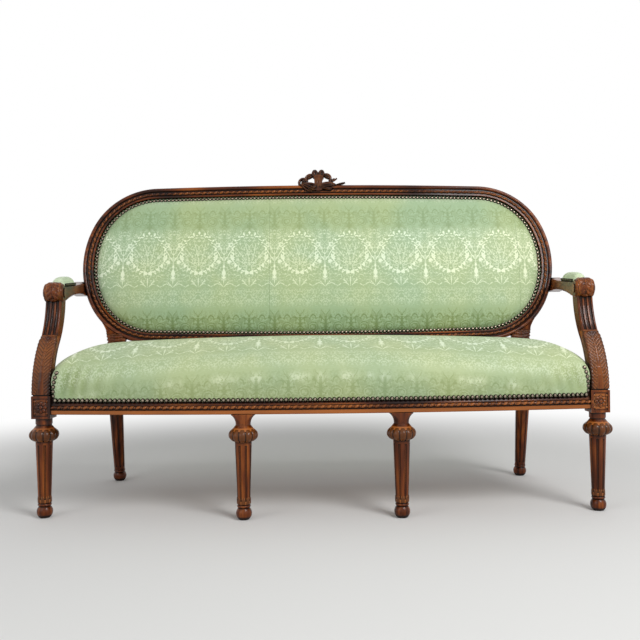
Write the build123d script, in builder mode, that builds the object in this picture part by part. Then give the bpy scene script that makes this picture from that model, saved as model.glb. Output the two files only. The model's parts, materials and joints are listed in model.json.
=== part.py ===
"""A settee with an oval upholstered back, as separate pieces of frame and upholstery."""

import os
from math import asin, atan2, cos, degrees, radians, sin, sqrt, tan

from build123d import *

os.makedirs("parts", exist_ok=True)

# Sizes are in mm. The front faces -Y, Z is up, and the origin is under the middle of the settee.

# Seat plan
leg_spacing = 1540.0  # between the axes of the front corner legs
mid_leg_spacing = 430.0  # between the axes of the two middle legs
front_bow = 52.0  # how far the front rail swings ahead of the corner legs
seat_depth = 430.0  # corner leg axis to rear post axis

# Seat rails
rail_bottom = 286.0
rail_height = 50.0
rail_half = 18.0  # half the thickness of a rail
band_face = 20.0  # lower band, ahead of the rail axis
band_height = 13.0
recess_face = 16.5  # groove floor behind the carved ribbon
ribbon_radius = 4.0
lip_face = 18.0
cover_face = 13.5  # face under the edge of the seat cover
cover_rise = 34.0  # where the cover ends, above the bottom of the rail

# Legs
block_size = 52.0
block_bottom = 275.0
block_top = 337.0
panel_depth = 2.0
panel_margin = 6.0
foot_radius = 21.5
foot_centre = 17.0
ankle_radius = 15.0
ankle_ring = 18.5
shaft_low_radius = 17.2
shaft_top_radius = 23.0
shaft_low = 42.0
bulb_radius = 38.0
bulb_round = 18.0
bulb_drop = 46.0  # widest part of the bulb, below the block
neck_radius = 20.5
bracket_radius = 33.0
flute_count = 8
flute_share = 0.16  # flute radius as a share of the shaft radius
flute_core = 0.84
flute_margin = 9.0
flute_radius = 3.2
gadroon_count = 12
gadroon_radius = 2.6
rear_leg_splay = 10.0  # degrees
rear_plain = 40.0  # plain top of the rear leg's shaft

# Rear posts
post_width = 50.0
post_depth = 40.0
post_waist = 46.0
post_flare = 64.0  # width where the post meets the oval
post_wing = 104.0  # width where its outer edge dies into the oval
post_inset = 128.0  # post axis, inside the outer edge of the oval

# Oval back, measured in its own leaning plane
back_overhang = 43.0  # outer edge of the oval, beyond the corner leg axis
back_half_height = 287.5
back_bottom = 451.0
back_rake = 12.0  # degrees
side_radius = 327.0
side_angle = 24.0  # degrees, where the side curve passes into the corner curve
long_crown = 8.46  # rise of the long curves above the tops of the corner curves
frame_width = 52.0
frame_back = 23.0  # floor of the grooves, ahead of the rear face
bead_width = 14.0
bead_rise = 6.5
lip_inset = 37.0  # where the rebate for the upholstery begins
rebate_depth = 15.0

# Arms
arm_height = 625.0
joint_above_arm = 76.5  # joint of the upper and lower corners, up the slope from the arm's end
arm_rise = 26.0
arm_set_back = 100.0  # scroll axis, behind the corner leg axis
arm_out = 2.0  # scroll centre, outside the corner leg axis
arm_width = 44.0
arm_half_height = 25.0
pad_seat = 18.0
scroll_radius = 27.0
scroll_width = 54.0
support_width = 46.0
support_depth = 43.0
support_run = 109.0
support_front = 20.0
pad_start = 34.0
pad_length = 176.0
pad_height = 26.0

# Joints
tenon_thickness = 12.0
tenon_height = 22.0
tenon_length = 18.0
post_tenon_length = 14.0
joint_gap = 0.2
housing_depth = 8.0
peg_radius = 8.0
peg_length = 20.0
dowel_radius = 4.0
dowel_length = 40.0
arm_dowel_radius = 5.0
cross_rail_width = 34.0
cross_rail_height = 38.0
brace_reach = 130.0
brace_height = 36.0
screw_radius = 2.4
screw_head_radius = 4.6
screw_length = 46.0

# Upholstery
cloth = 2.0
soft_gap = 0.3
web_width = 52.0
web_thickness = 1.6
seat_crown = 495.0
seat_shoulder = 375.0
seat_bulge = 9.0
seat_roll = 200.0
seat_corner = 40.0
back_crown = 40.0
back_roll = 190.0
well_half_width = 596.0
well_front = 62.0
well_rear = 54.0
well_top = 410.0
spring_turns = 3
spring_radius = 40.0
spring_wire = 2.2

# Crest
crest_height = 53.0
crest_back = 9.0
ribbon_thick = 10.0
ribbon_wide = 16.0

# Places that follow from the sizes
leg_x = leg_spacing / 2
mid_x = mid_leg_spacing / 2
rail_top = rail_bottom + rail_height
cover_line = rail_bottom + cover_rise
rake = radians(back_rake)
back_half_width = leg_x + back_overhang
post_x = back_half_width - post_inset
frame_front = frame_back + bead_rise
side_turn = sin(radians(side_angle))
corner_radius = (back_half_height - long_crown - side_radius * side_turn) / (1 - side_turn)
bow_radius = (leg_x**2 + front_bow**2) / (2 * front_bow)
back_centre_z = back_bottom + back_half_height * cos(rake)
back_centre_reach = seat_depth + (back_centre_z - rail_top) * tan(rake) + frame_front / 2 / cos(rake)
mid_leg_bow = front_bow - bow_radius + sqrt(bow_radius**2 - mid_x**2)
front_reach = mid_leg_bow + bulb_radius
crest_lean = (back_half_height + crest_height) * sin(rake)
rear_reach = back_centre_reach + crest_lean - crest_back * cos(rake)
leg_y = (front_reach - rear_reach) / 2
post_y = leg_y + seat_depth
bow_centre_y = leg_y - front_bow + bow_radius
back_plane = Plane((0, leg_y + back_centre_reach, back_centre_z), (1, 0, 0), (0, -cos(rake), sin(rake)))
side_slope = (leg_x - post_x) / seat_depth
tenon_mid = rail_bottom + 4 + tenon_height / 2


def bow_y(x, ahead=0.0):
    """Y of the bowed front rail at x, at a distance ahead of its axis."""
    return bow_centre_y - sqrt((bow_radius + ahead) ** 2 - x**2)


def side_x(y):
    """X of the right side rail's axis at y."""
    return leg_x - (y - leg_y) * side_slope


def back_point(x, y, front=0.0):
    """A point of the leaning back: across, up its slope, and ahead of its rear face."""
    return back_plane.from_local_coords((x, y, front))


def save(builder, name):
    """Writes one finished piece to its own file."""
    builder.part.label = name
    export_step(builder.part, f"parts/{name}.step")
    print(name, round(builder.part.volume / 1000, 1), "cm3")


def save_pair(builder, name):
    """Writes the right-hand piece and its mirror image."""
    save(builder, f"right_{name}")
    with BuildPart() as left:
        mirror(builder.part, about=Plane.YZ)
    save(left, f"left_{name}")


def rail_profile(base):
    """Draws the moulded section of a rail, with the rail axis at the distance base."""
    groove = rail_bottom + band_height
    with BuildLine() as outline:
        Polyline(
            (base - rail_half, rail_top),
            (base - rail_half, rail_bottom),
            (base + band_face - 2, rail_bottom),
            (base + band_face, rail_bottom + 2),
            (base + band_face, groove - 2),
            (base + band_face - 2, groove),
            (base + recess_face, groove),
            (base + recess_face, groove + 2),
        )
        ThreePointArc(
            (base + recess_face, groove + 2),
            (base + recess_face + ribbon_radius, groove + 2 + ribbon_radius),
            (base + recess_face, groove + 2 + 2 * ribbon_radius),
        )
        Polyline(
            (base + recess_face, groove + 2 + 2 * ribbon_radius),
            (base + recess_face, groove + 4 + 2 * ribbon_radius),
            (base + lip_face, groove + 4 + 2 * ribbon_radius),
            (base + lip_face, groove + 6 + 2 * ribbon_radius),
        )
        Line((base + lip_face, groove + 6 + 2 * ribbon_radius), (base + cover_face, cover_line))
        Polyline((base + cover_face, cover_line), (base + cover_face, rail_top), (base - rail_half, rail_top))
    make_face(outline.edges())


def shaft_lines(top, ball_start):
    """Outline of a turned foot and tapered shaft, from the ball up to the height top."""
    ball_top = foot_centre + sqrt(foot_radius**2 - ankle_radius**2)
    ring_top = shaft_low - 1
    ThreePointArc(ball_start, (foot_radius, foot_centre), (ankle_radius, ball_top))
    ThreePointArc((ankle_radius, ball_top), (ankle_ring, (ball_top + ring_top) / 2), (ankle_radius, ring_top))
    low = shaft_low + flute_margin
    high = top - flute_margin
    slope = (shaft_top_radius - shaft_low_radius) / (top - shaft_low)
    low_radius = shaft_low_radius + slope * flute_margin
    high_radius = shaft_top_radius - slope * flute_margin
    Polyline(
        (ankle_radius, ring_top),
        (shaft_low_radius, shaft_low),
        (low_radius, low),
        (low_radius * flute_core, low),
        (high_radius * flute_core, high),
        (high_radius, high),
        (shaft_top_radius, top),
    )


def fluted_shaft(top):
    """Adds the fluted length of a tapered shaft that stands on the origin."""
    slope = (shaft_top_radius - shaft_low_radius) / (top - shaft_low)
    ends = []
    for height in (shaft_low + flute_margin, top - flute_margin):
        radius = shaft_low_radius + slope * (height - shaft_low)
        with BuildSketch(Plane.XY.offset(height)) as end:
            Circle(radius)
            with PolarLocations(radius * 1.04, flute_count, start_angle=180 / flute_count):
                Circle(radius * flute_share, mode=Mode.SUBTRACT)
        ends.append(end.sketch)
    loft(ends, ruled=True)


def tenon_box(x, y, along, gap):
    """A rail tenon at x, y that runs along X or Y; with a gap it is the mortise."""
    length = 2 * tenon_length + 2 * gap
    thickness = tenon_thickness + 2 * gap
    height = tenon_height + 2 * gap
    size = (length, thickness) if along == "x" else (thickness, length)
    with Locations((x, y, tenon_mid)):
        Box(*size, height, mode=Mode.SUBTRACT if gap else Mode.ADD)


def post_tenon_box(x, y, along, gap):
    """A shorter rail tenon in the rear post; with a gap it is the mortise."""
    length = 2 * post_tenon_length + 2 * gap
    thickness = tenon_thickness + 2 * gap
    height = tenon_height + 2 * gap
    size = (length, thickness) if along == "x" else (thickness, length)
    with Locations((x, y, tenon_mid)):
        Box(*size, height, mode=Mode.SUBTRACT if gap else Mode.ADD)


# Faces where the rails meet the legs and posts
leg_inner_x = leg_x - block_size / 2
leg_rear_y = leg_y + block_size / 2
post_inner_x = post_x - post_width / 2
post_front_y = post_y - post_depth / 2
front_tenon_y = leg_y - tenon_thickness / 4
side_tenon_x = side_x(leg_rear_y)
side_post_x = side_x(post_front_y)
rear_tenon_y = post_y + tenon_thickness / 4

# Corner braces: two screws through each brace, one into each rail
brace_mid = rail_bottom + 6 + brace_height / 2
brace_side = brace_reach * 0.55
front_screw = Plane((leg_x - brace_side, bow_y(leg_x - brace_side) + 46, brace_mid), z_dir=(0, -1, 0))
side_screw = Plane((side_x(leg_y + brace_side) - 46, leg_y + brace_side, brace_mid), z_dir=(1, 0, 0))
rear_screw = Plane((post_x - brace_side, post_y - 46, brace_mid), z_dir=(0, 1, 0))
rear_side_screw = Plane((side_x(post_y - brace_side) - 46, post_y - brace_side, brace_mid), z_dir=(1, 0, 0))
right_screws = [front_screw, side_screw, rear_screw, rear_side_screw]


def cut_screws(places, gap):
    """Cuts the screws' holes, with a wider bore behind each head."""
    with Locations(*places):
        Cylinder(
            screw_radius + gap,
            screw_length + gap,
            align=(Align.CENTER, Align.CENTER, Align.MIN),
            mode=Mode.SUBTRACT,
        )
        Cylinder(
            screw_head_radius + gap,
            brace_reach,
            align=(Align.CENTER, Align.CENTER, Align.MAX),
            mode=Mode.SUBTRACT,
        )


# Shared turned stem of the four front legs
bulb_centre = block_bottom - bulb_drop
bulb_core = bulb_radius - bulb_round
bulb_foot = bulb_centre - sqrt(bulb_round**2 - (shaft_top_radius - bulb_core) ** 2)
neck_bottom = bulb_centre + bulb_round * 1.5
diagonal = bulb_round * cos(radians(45))
with BuildPart() as front_stem:
    with BuildSketch(Plane.XZ):
        with BuildLine():
            foot_flat = sqrt(foot_radius**2 - foot_centre**2)
            Line((0, 0), (foot_flat, 0))
            shaft_lines(bulb_foot, (foot_flat, 0))
            ThreePointArc(
                (shaft_top_radius, bulb_foot),
                (bulb_radius, bulb_centre),
                (bulb_core + diagonal, bulb_centre + diagonal),
            )
            TangentArc(
                (bulb_core + diagonal, bulb_centre + diagonal),
                (neck_radius, neck_bottom),
                tangent=(-1, 1),
            )
            Polyline((neck_radius, neck_bottom), (neck_radius, neck_bottom + 3), (0, neck_bottom + 3), (0, 0))
        make_face()
    revolve(axis=Axis.Z)
    fluted_shaft(bulb_foot)
    with Locations((0, 0, bulb_centre)):
        with PolarLocations(bulb_core, gadroon_count, start_angle=180 / gadroon_count):
            Torus(
                bulb_round + gadroon_radius * 0.35,
                gadroon_radius,
                major_angle=116,
                rotation=(90, 0, -74),
                align=None,
                mode=Mode.SUBTRACT,
            )
neck_top = neck_bottom + 3

# Front corner legs, each with a square block for the rails and the arm support
with BuildPart() as corner_leg:
    with Locations((leg_x, leg_y, 0)):
        add(front_stem.part)
    with Locations((leg_x, leg_y, neck_top)):
        Cylinder(neck_radius + 2, block_bottom - neck_top, align=(Align.CENTER, Align.CENTER, Align.MIN))
    with Locations((leg_x, leg_y, block_bottom)):
        Box(block_size, block_size, block_top - block_bottom, align=(Align.CENTER, Align.CENTER, Align.MIN))
    panel_high = block_top - block_bottom - 2 * panel_margin
    panel_wide = block_size - 2 * panel_margin
    with Locations((leg_x, leg_y - block_size / 2, (block_top + block_bottom) / 2)):
        Box(panel_wide, 2 * panel_depth, panel_high, mode=Mode.SUBTRACT)
    with Locations((leg_x + block_size / 2, leg_y, (block_top + block_bottom) / 2)):
        Box(2 * panel_depth, panel_wide, panel_high, mode=Mode.SUBTRACT)
    tenon_box(leg_inner_x, front_tenon_y, "x", joint_gap)
    tenon_box(side_tenon_x, leg_rear_y, "y", joint_gap)
    with Locations((leg_x, leg_y, block_top)):
        Cylinder(peg_radius + joint_gap, 2 * peg_length + 2 * joint_gap, mode=Mode.SUBTRACT)
save_pair(corner_leg, "front_corner_leg")

# Middle front legs, flared under the rail and pegged into it
mid_y = bow_y(mid_x)
with BuildPart() as mid_leg:
    with BuildSketch(Plane((mid_x, mid_y, 0), (1, 0, 0), (0, -1, 0))):
        with BuildLine():
            Polyline((0, rail_bottom), (0, neck_top), (neck_radius, neck_top))
            TangentArc((neck_radius, neck_top), (bracket_radius, rail_bottom - 3), tangent=(0, 1))
            Polyline((bracket_radius, rail_bottom - 3), (bracket_radius, rail_bottom), (0, rail_bottom))
        make_face()
    revolve(axis=Axis((mid_x, mid_y, 0), (0, 0, 1)))
    with Locations((mid_x, mid_y, rail_bottom)):
        Box(
            2 * bracket_radius,
            2 * band_face,
            2 * (rail_bottom - neck_top),
            mode=Mode.INTERSECT,
        )
    with Locations((mid_x, mid_y, 0)):
        add(front_stem.part)
    with Locations((mid_x, mid_y, rail_bottom)):
        Cylinder(peg_radius, peg_length, align=(Align.CENTER, Align.CENTER, Align.MIN))
save_pair(mid_leg, "front_middle_leg")

# The oval's curves: side curve, corner curve and the long curve of top and bottom
side_centre_x = back_half_width - side_radius
corner_x = side_centre_x + (side_radius - corner_radius) * cos(radians(side_angle))
corner_y = (side_radius - corner_radius) * sin(radians(side_angle))
corner_lift = corner_y + corner_radius - back_half_height
long_radius = corner_radius + (corner_x**2 + corner_lift**2) / (-2 * corner_lift)
long_drop = back_half_height - long_radius
long_angle = degrees(atan2(corner_x, corner_y - long_drop))


def oval(inset):
    """Draws the oval on the active sketch, at a distance inside its outer edge."""

    def at(centre_x, centre_y, radius, angle):
        reach = radius - inset
        return (centre_x + reach * cos(radians(angle)), centre_y + reach * sin(radians(angle)))

    with BuildLine() as outline:
        for sign in (1, -1):
            quarter = 1 - sign
            side = (sign * side_centre_x, 0, side_radius)
            high = (sign * corner_x, sign * corner_y, corner_radius)
            low = (sign * corner_x, -sign * corner_y, corner_radius)
            far = (0, sign * long_drop, long_radius)
            turn = 90 * quarter
            mid_corner = (side_angle + 90 - long_angle) / 2
            first = at(*low, turn - 90 + long_angle)
            second = at(*low, turn - side_angle)
            third = at(*high, turn + side_angle)
            fourth = at(*high, turn + 90 - long_angle)
            last = at(*far, turn + 90 + long_angle)
            ThreePointArc(first, at(*low, turn - mid_corner), second)
            ThreePointArc(second, at(*side, turn), third)
            ThreePointArc(third, at(*high, turn + mid_corner), fourth)
            ThreePointArc(fourth, at(*far, turn + 90), last)
    make_face(outline.edges())


def frame_arc(centre, radius, start, end):
    """Adds one curve of the oval's moulding, turned about its own centre."""
    along = back_plane.from_local_coords((cos(radians(start)), sin(radians(start)), 0)) - back_plane.origin
    origin = back_point(*centre)
    ribbon_start = bead_width + 4
    ribbon_end = ribbon_start + 2.4 * ribbon_radius
    with BuildSketch(Plane(origin, along, along.cross(back_plane.z_dir))) as section:
        with BuildLine():
            Polyline((radius - bead_width, frame_back), (radius - ribbon_start, frame_back))
            ThreePointArc(
                (radius - ribbon_start, frame_back),
                (radius - (ribbon_start + ribbon_end) / 2, frame_back + ribbon_radius),
                (radius - ribbon_end, frame_back),
            )
            Polyline(
                (radius - ribbon_end, frame_back),
                (radius - ribbon_end - 3, frame_back),
                (radius - ribbon_end - 4, frame_back + 4),
                (radius - lip_inset + 1, frame_back + 4),
                (radius - lip_inset, frame_back + 2),
                (radius - lip_inset, rebate_depth),
                (radius - frame_width, rebate_depth),
                (radius - frame_width, 0),
                (radius - 4, 0),
                (radius, 5),
                (radius, frame_back - 1),
            )
            ThreePointArc(
                (radius, frame_back - 1),
                (radius - bead_width / 2, frame_front),
                (radius - bead_width, frame_back),
            )
        make_face()
    revolve(section.sketch, axis=Axis(origin, back_plane.z_dir), revolution_arc=end - start)


# Joints of the oval, each with two dowels along the wood
def frame_joint(centre, radius, angle, inset):
    """The place of a dowel across a joint of the oval."""
    reach = radius - inset
    x = centre[0] + reach * cos(radians(angle))
    y = centre[1] + reach * sin(radians(angle))
    turned = (-sin(radians(angle)), cos(radians(angle)), 0)
    along = back_plane.from_local_coords(turned) - back_plane.origin
    return Plane(back_point(x, y, rebate_depth / 2 + 1), back_plane.z_dir, along)


arm_end_y = (arm_height + arm_rise - back_centre_z) / cos(rake)
arm_end_x = side_centre_x + sqrt(side_radius**2 - arm_end_y**2)
side_joint = degrees(asin((arm_end_y + joint_above_arm) / side_radius))
dowel_places = []
for inset in (bead_width, lip_inset + 3):
    for side in (1, -1):
        middle_angle = side_joint if side == 1 else 180 - side_joint
        dowel_places.append(frame_joint((side * side_centre_x, 0), side_radius, middle_angle, inset))
        for up in (1, -1):
            angle = up * (90 - side * long_angle)
            dowel_places.append(frame_joint((0, up * long_drop), long_radius, angle, inset))


def cut_dowels():
    """Cuts the dowel holes of the oval's joints."""
    with Locations(*dowel_places):
        Cylinder(dowel_radius + joint_gap, dowel_length + 2 * joint_gap, mode=Mode.SUBTRACT)


# Solid inside of the oval's outer edge, which shapes the pieces that meet it
with BuildPart() as oval_block:
    with BuildSketch(back_plane):
        oval(-joint_gap / 4)
    extrude(amount=80, both=True)

with BuildPart() as back_top_rail:
    frame_arc((0, long_drop), long_radius, 90 - long_angle, 90 + long_angle)
    cut_dowels()
save(back_top_rail, "back_top_rail")

with BuildPart() as back_bottom_rail:
    frame_arc((0, -long_drop), long_radius, 270 - long_angle, 270 + long_angle)
    cut_dowels()
save(back_bottom_rail, "back_bottom_rail")

with BuildPart() as upper_corner:
    frame_arc((side_centre_x, 0), side_radius, side_joint, side_angle)
    frame_arc((corner_x, corner_y), corner_radius, side_angle, 90 - long_angle)
    cut_dowels()
save_pair(upper_corner, "back_upper_corner")

# Where the post's tenon and the arm's dowel enter the lower corner
post_meet_y = -corner_y - sqrt(corner_radius**2 - (post_x - corner_x) ** 2)
post_tenon_place = Plane(
    back_point(post_x, post_meet_y, frame_front / 2 - 2), (1, 0, 0), back_plane.y_dir
)
arm_dowel_place = Plane(back_point(arm_end_x, arm_end_y, rebate_depth / 2 + 3), z_dir=(1, 0, 0))

with BuildPart() as lower_corner:
    frame_arc((side_centre_x, 0), side_radius, -side_angle, side_joint)
    frame_arc((corner_x, -corner_y), corner_radius, long_angle - 90, -side_angle)
    cut_dowels()
    with Locations(post_tenon_place):
        Box(
            3 * tenon_thickness + 2 * joint_gap,
            tenon_thickness + 2 * joint_gap,
            2 * tenon_length + 2 * joint_gap,
            mode=Mode.SUBTRACT,
        )
    with Locations(arm_dowel_place):
        Cylinder(arm_dowel_radius + joint_gap, dowel_length + 2 * joint_gap, mode=Mode.SUBTRACT)
save_pair(lower_corner, "back_lower_corner")

with BuildPart() as back_dowels:
    with Locations(*dowel_places):
        Cylinder(dowel_radius, dowel_length)
save(back_dowels, "back_joint_dowels")

with BuildPart() as arm_dowels:
    with Locations(arm_dowel_place):
        Cylinder(arm_dowel_radius, dowel_length)
    mirror(about=Plane.YZ)
save(arm_dowels, "arm_dowels")

# Rear legs: a splayed fluted leg, a block for the rails and a leaning post in one piece
rear_top = (rail_bottom + 10) / cos(radians(rear_leg_splay))
foot_y = post_y + rail_bottom * tan(radians(rear_leg_splay))
with BuildPart() as rear_stem:
    with BuildSketch(Plane.XZ):
        with BuildLine():
            shaft_lines(rear_top - rear_plain, (0, foot_centre - foot_radius))
            Polyline(
                (shaft_top_radius, rear_top - rear_plain),
                (shaft_top_radius, rear_top),
                (0, rear_top),
                (0, foot_centre - foot_radius),
            )
        make_face()
    revolve(axis=Axis.Z)
    fluted_shaft(rear_top - rear_plain)

post_section = Plane((post_x, post_y, rail_top), (1, 0, 0), back_plane.y_dir)
meet_distance = (back_point(post_x, post_meet_y) - post_section.origin).dot(back_plane.y_dir)
wing_y = -corner_y - sqrt(corner_radius**2 - (post_x + post_wing / 2 - corner_x) ** 2)
wing_rise = wing_y - post_meet_y
with BuildPart() as rear_leg:
    add(rear_stem.part.moved(Location((post_x, foot_y, 0), (rear_leg_splay, 0, 0))))
    with Locations((post_x, (foot_y + post_y) / 2, 0)):
        Box(
            8 * foot_radius,
            8 * foot_radius,
            rail_bottom,
            align=(Align.CENTER, Align.CENTER, Align.MIN),
            mode=Mode.INTERSECT,
        )
    with BuildSketch(post_section):
        Rectangle(post_width - 3, post_depth - 8)
    with BuildSketch(post_section.offset(meet_distance * 0.5)):
        Rectangle(post_waist, post_depth - 10)
    with BuildSketch(post_section.offset(meet_distance)):
        Rectangle(post_flare, frame_front - 4)
    with BuildSketch(post_section.offset(meet_distance + wing_rise)):
        Rectangle(post_wing, frame_front - 4)
    loft()
    add(oval_block.part, mode=Mode.SUBTRACT)
    with Locations((post_x, post_y, rail_bottom)):
        Box(post_width, post_depth, rail_height + 8, align=(Align.CENTER, Align.CENTER, Align.MIN))
    with Locations(post_tenon_place):
        Box(3 * tenon_thickness, tenon_thickness, 2 * tenon_length)
    post_tenon_box(side_post_x, post_front_y, "y", joint_gap)
    post_tenon_box(post_inner_x, rear_tenon_y, "x", joint_gap)
save_pair(rear_leg, "rear_leg_and_post")

# Front seat rail, turned about the centre of its bow
cross_front = bow_y(mid_x, -rail_half) - housing_depth
cross_rear = post_y - rail_half + housing_depth
bow_half_angle = degrees(asin(leg_x / bow_radius))
bow_start = radians(bow_half_angle)
bow_out = (-sin(bow_start), -cos(bow_start), 0)
bow_along = (-cos(bow_start), sin(bow_start), 0)
with BuildPart() as front_rail:
    with BuildSketch(Plane((0, bow_centre_y, 0), bow_out, bow_along)):
        rail_profile(bow_radius)
    revolve(axis=Axis((0, bow_centre_y, 0), (0, 0, 1)), revolution_arc=2 * bow_half_angle)
    with Locations((0, leg_y, rail_bottom)):
        Box(2 * leg_inner_x, 6 * block_size, 4 * rail_height, mode=Mode.INTERSECT)
    for side in (1, -1):
        tenon_box(side * leg_inner_x, front_tenon_y, "x", 0)
        with Locations((side * mid_x, mid_y, rail_bottom)):
            Cylinder(peg_radius + joint_gap, 2 * peg_length + 2 * joint_gap, mode=Mode.SUBTRACT)
        with Locations((side * mid_x, cross_front - joint_gap, rail_bottom)):
            Box(
                cross_rail_width + 2 * joint_gap,
                3 * housing_depth,
                2 * (cross_rail_height + joint_gap),
                align=(Align.CENTER, Align.MIN, Align.CENTER),
                mode=Mode.SUBTRACT,
            )
    cut_screws([front_screw], 0)
    cut_screws([Plane((-front_screw.origin.X, front_screw.origin.Y, brace_mid), z_dir=(0, -1, 0))], 0)
save(front_rail, "front_seat_rail")

# Rear seat rail
with BuildPart() as rear_rail:
    with Locations((0, post_y, rail_bottom)):
        Box(2 * post_inner_x, 2 * rail_half - 4, rail_height, align=(Align.CENTER, Align.CENTER, Align.MIN))
    for side in (1, -1):
        post_tenon_box(side * post_inner_x, rear_tenon_y, "x", 0)
        with Locations((side * mid_x, cross_rear + joint_gap, rail_bottom)):
            Box(
                cross_rail_width + 2 * joint_gap,
                3 * housing_depth,
                2 * (cross_rail_height + joint_gap),
                align=(Align.CENTER, Align.MAX, Align.CENTER),
                mode=Mode.SUBTRACT,
            )
    cut_screws([rear_screw], 0)
    cut_screws([Plane((-rear_screw.origin.X, rear_screw.origin.Y, brace_mid), z_dir=(0, 1, 0))], 0)
save(rear_rail, "rear_seat_rail")

# Side rails, between the corner leg and the rear post
side_run = Vector(side_x(post_y) - leg_x, seat_depth, 0).normalized()
with BuildPart() as side_rail:
    with BuildSketch(Plane((leg_x, leg_y, 0), side_run.cross(Vector(0, 0, 1)), side_run * -1)):
        rail_profile(0)
    extrude(amount=-2 * seat_depth)
    with Locations((leg_x, leg_rear_y, rail_bottom)):
        Box(
            8 * block_size,
            post_front_y - leg_rear_y,
            4 * rail_height,
            align=(Align.CENTER, Align.MIN, Align.CENTER),
            mode=Mode.INTERSECT,
        )
    tenon_box(side_tenon_x, leg_rear_y, "y", 0)
    post_tenon_box(side_post_x, post_front_y, "y", 0)
    cut_screws([side_screw, rear_side_screw], 0)
save_pair(side_rail, "side_rail")

# Cross rails, housed in the front and rear rails
with BuildPart() as cross_rail:
    with Locations((mid_x, cross_front, rail_bottom)):
        Box(
            cross_rail_width,
            cross_rear - cross_front,
            cross_rail_height,
            align=(Align.CENTER, Align.MIN, Align.MIN),
        )
save_pair(cross_rail, "cross_rail")

# Braces glued and screwed into the corners of the seat frame
with BuildPart() as front_brace:
    with BuildSketch(Plane.XY.offset(brace_mid - brace_height / 2)):
        with BuildLine():
            Polyline(
                (leg_x - 5, leg_y + 5),
                (leg_x - brace_reach, bow_y(leg_x - brace_reach)),
                (side_x(leg_y + brace_reach), leg_y + brace_reach),
                close=True,
            )
        make_face()
    extrude(amount=brace_height)
    for rail in (front_rail, side_rail):
        add(rail.part, mode=Mode.SUBTRACT)
    with Locations((leg_x, leg_y, brace_mid)):
        Box(block_size, block_size, 2 * brace_height, mode=Mode.SUBTRACT)
    cut_screws([front_screw, side_screw], joint_gap)
save_pair(front_brace, "front_corner_brace")

with BuildPart() as rear_brace:
    with BuildSketch(Plane.XY.offset(brace_mid - brace_height / 2)):
        with BuildLine():
            Polyline(
                (post_x - 5, post_y - 5),
                (side_x(post_y - brace_reach), post_y - brace_reach),
                (post_x - brace_reach, post_y),
                close=True,
            )
        make_face()
    extrude(amount=brace_height)
    for rail in (rear_rail, side_rail):
        add(rail.part, mode=Mode.SUBTRACT)
    with Locations((post_x, post_y, brace_mid)):
        Box(post_width, post_depth, 2 * brace_height, mode=Mode.SUBTRACT)
    cut_screws([rear_screw, rear_side_screw], joint_gap)
save_pair(rear_brace, "rear_corner_brace")

with BuildPart() as screws:
    with Locations(*right_screws):
        Cylinder(screw_radius, screw_length, align=(Align.CENTER, Align.CENTER, Align.MIN))
        Cylinder(screw_head_radius, 3, align=(Align.CENTER, Align.CENTER, Align.MAX))
    mirror(about=Plane.YZ)
save(screws, "corner_brace_screws")

# Arms: a scroll at the front, a flat seat for the pad, and an end scooped to the oval
arm_front = Vector(leg_x + arm_out, leg_y + arm_set_back, arm_height)
arm_end = back_point(arm_end_x + arm_width / 2 - 7, arm_end_y, frame_front / 2)
arm_run = arm_end - arm_front
arm_length = arm_run.length
arm_side = Plane(arm_front, arm_run, arm_run.cross(Vector(0, 0, 1)))
support_top = arm_height - scroll_radius
support_x = leg_x + 2
support_base_y = leg_y - support_front
peg_y = support_base_y + support_run + support_depth / 2
with BuildPart() as arm:
    with BuildSketch(arm_side):
        with BuildLine():
            Polyline(
                (0, pad_seat - 2),
                (pad_start - 8, pad_seat),
                (pad_start + pad_length + 8, pad_seat),
            )
            TangentArc((pad_start + pad_length + 8, pad_seat), (arm_length, arm_half_height), tangent=(1, 0))
            Polyline(
                (arm_length, arm_half_height),
                (arm_length + 14, arm_half_height),
                (arm_length + 14, -arm_half_height),
                (arm_length, -arm_half_height),
            )
            ThreePointArc(
                (arm_length, -arm_half_height),
                (arm_length * 0.55, -arm_half_height * 0.5),
                (arm_length * 0.15, -arm_half_height),
            )
            Polyline((arm_length * 0.15, -arm_half_height), (0, -arm_half_height), (0, pad_seat - 2))
        make_face()
    extrude(amount=arm_width / 2, both=True)
    fillet(arm.edges().filter_by(Axis((0, 0, 0), arm_side.z_dir), reverse=True), 5)
    with BuildSketch(Plane(arm_front, arm_side.z_dir, arm_run)):
        with Locations((0, 0)):
            RectangleRounded(scroll_width, 2 * scroll_radius, 6)
            Rectangle(scroll_width + 6, scroll_radius)
        with Locations((0, -scroll_radius)):
            Rectangle(2 * scroll_width, 2 * scroll_radius, mode=Mode.SUBTRACT)
    revolve(axis=Axis(arm_front, arm_side.z_dir))
    add(oval_block.part, mode=Mode.SUBTRACT)
    with Locations(arm_dowel_place):
        Cylinder(arm_dowel_radius + joint_gap, dowel_length + 2 * joint_gap, mode=Mode.SUBTRACT)
    arm_whole = arm.part
    with Locations((support_x, peg_y, support_top)):
        Cylinder(peg_radius + joint_gap, 2 * peg_length + 2 * joint_gap, mode=Mode.SUBTRACT)
save_pair(arm, "arm")

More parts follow.
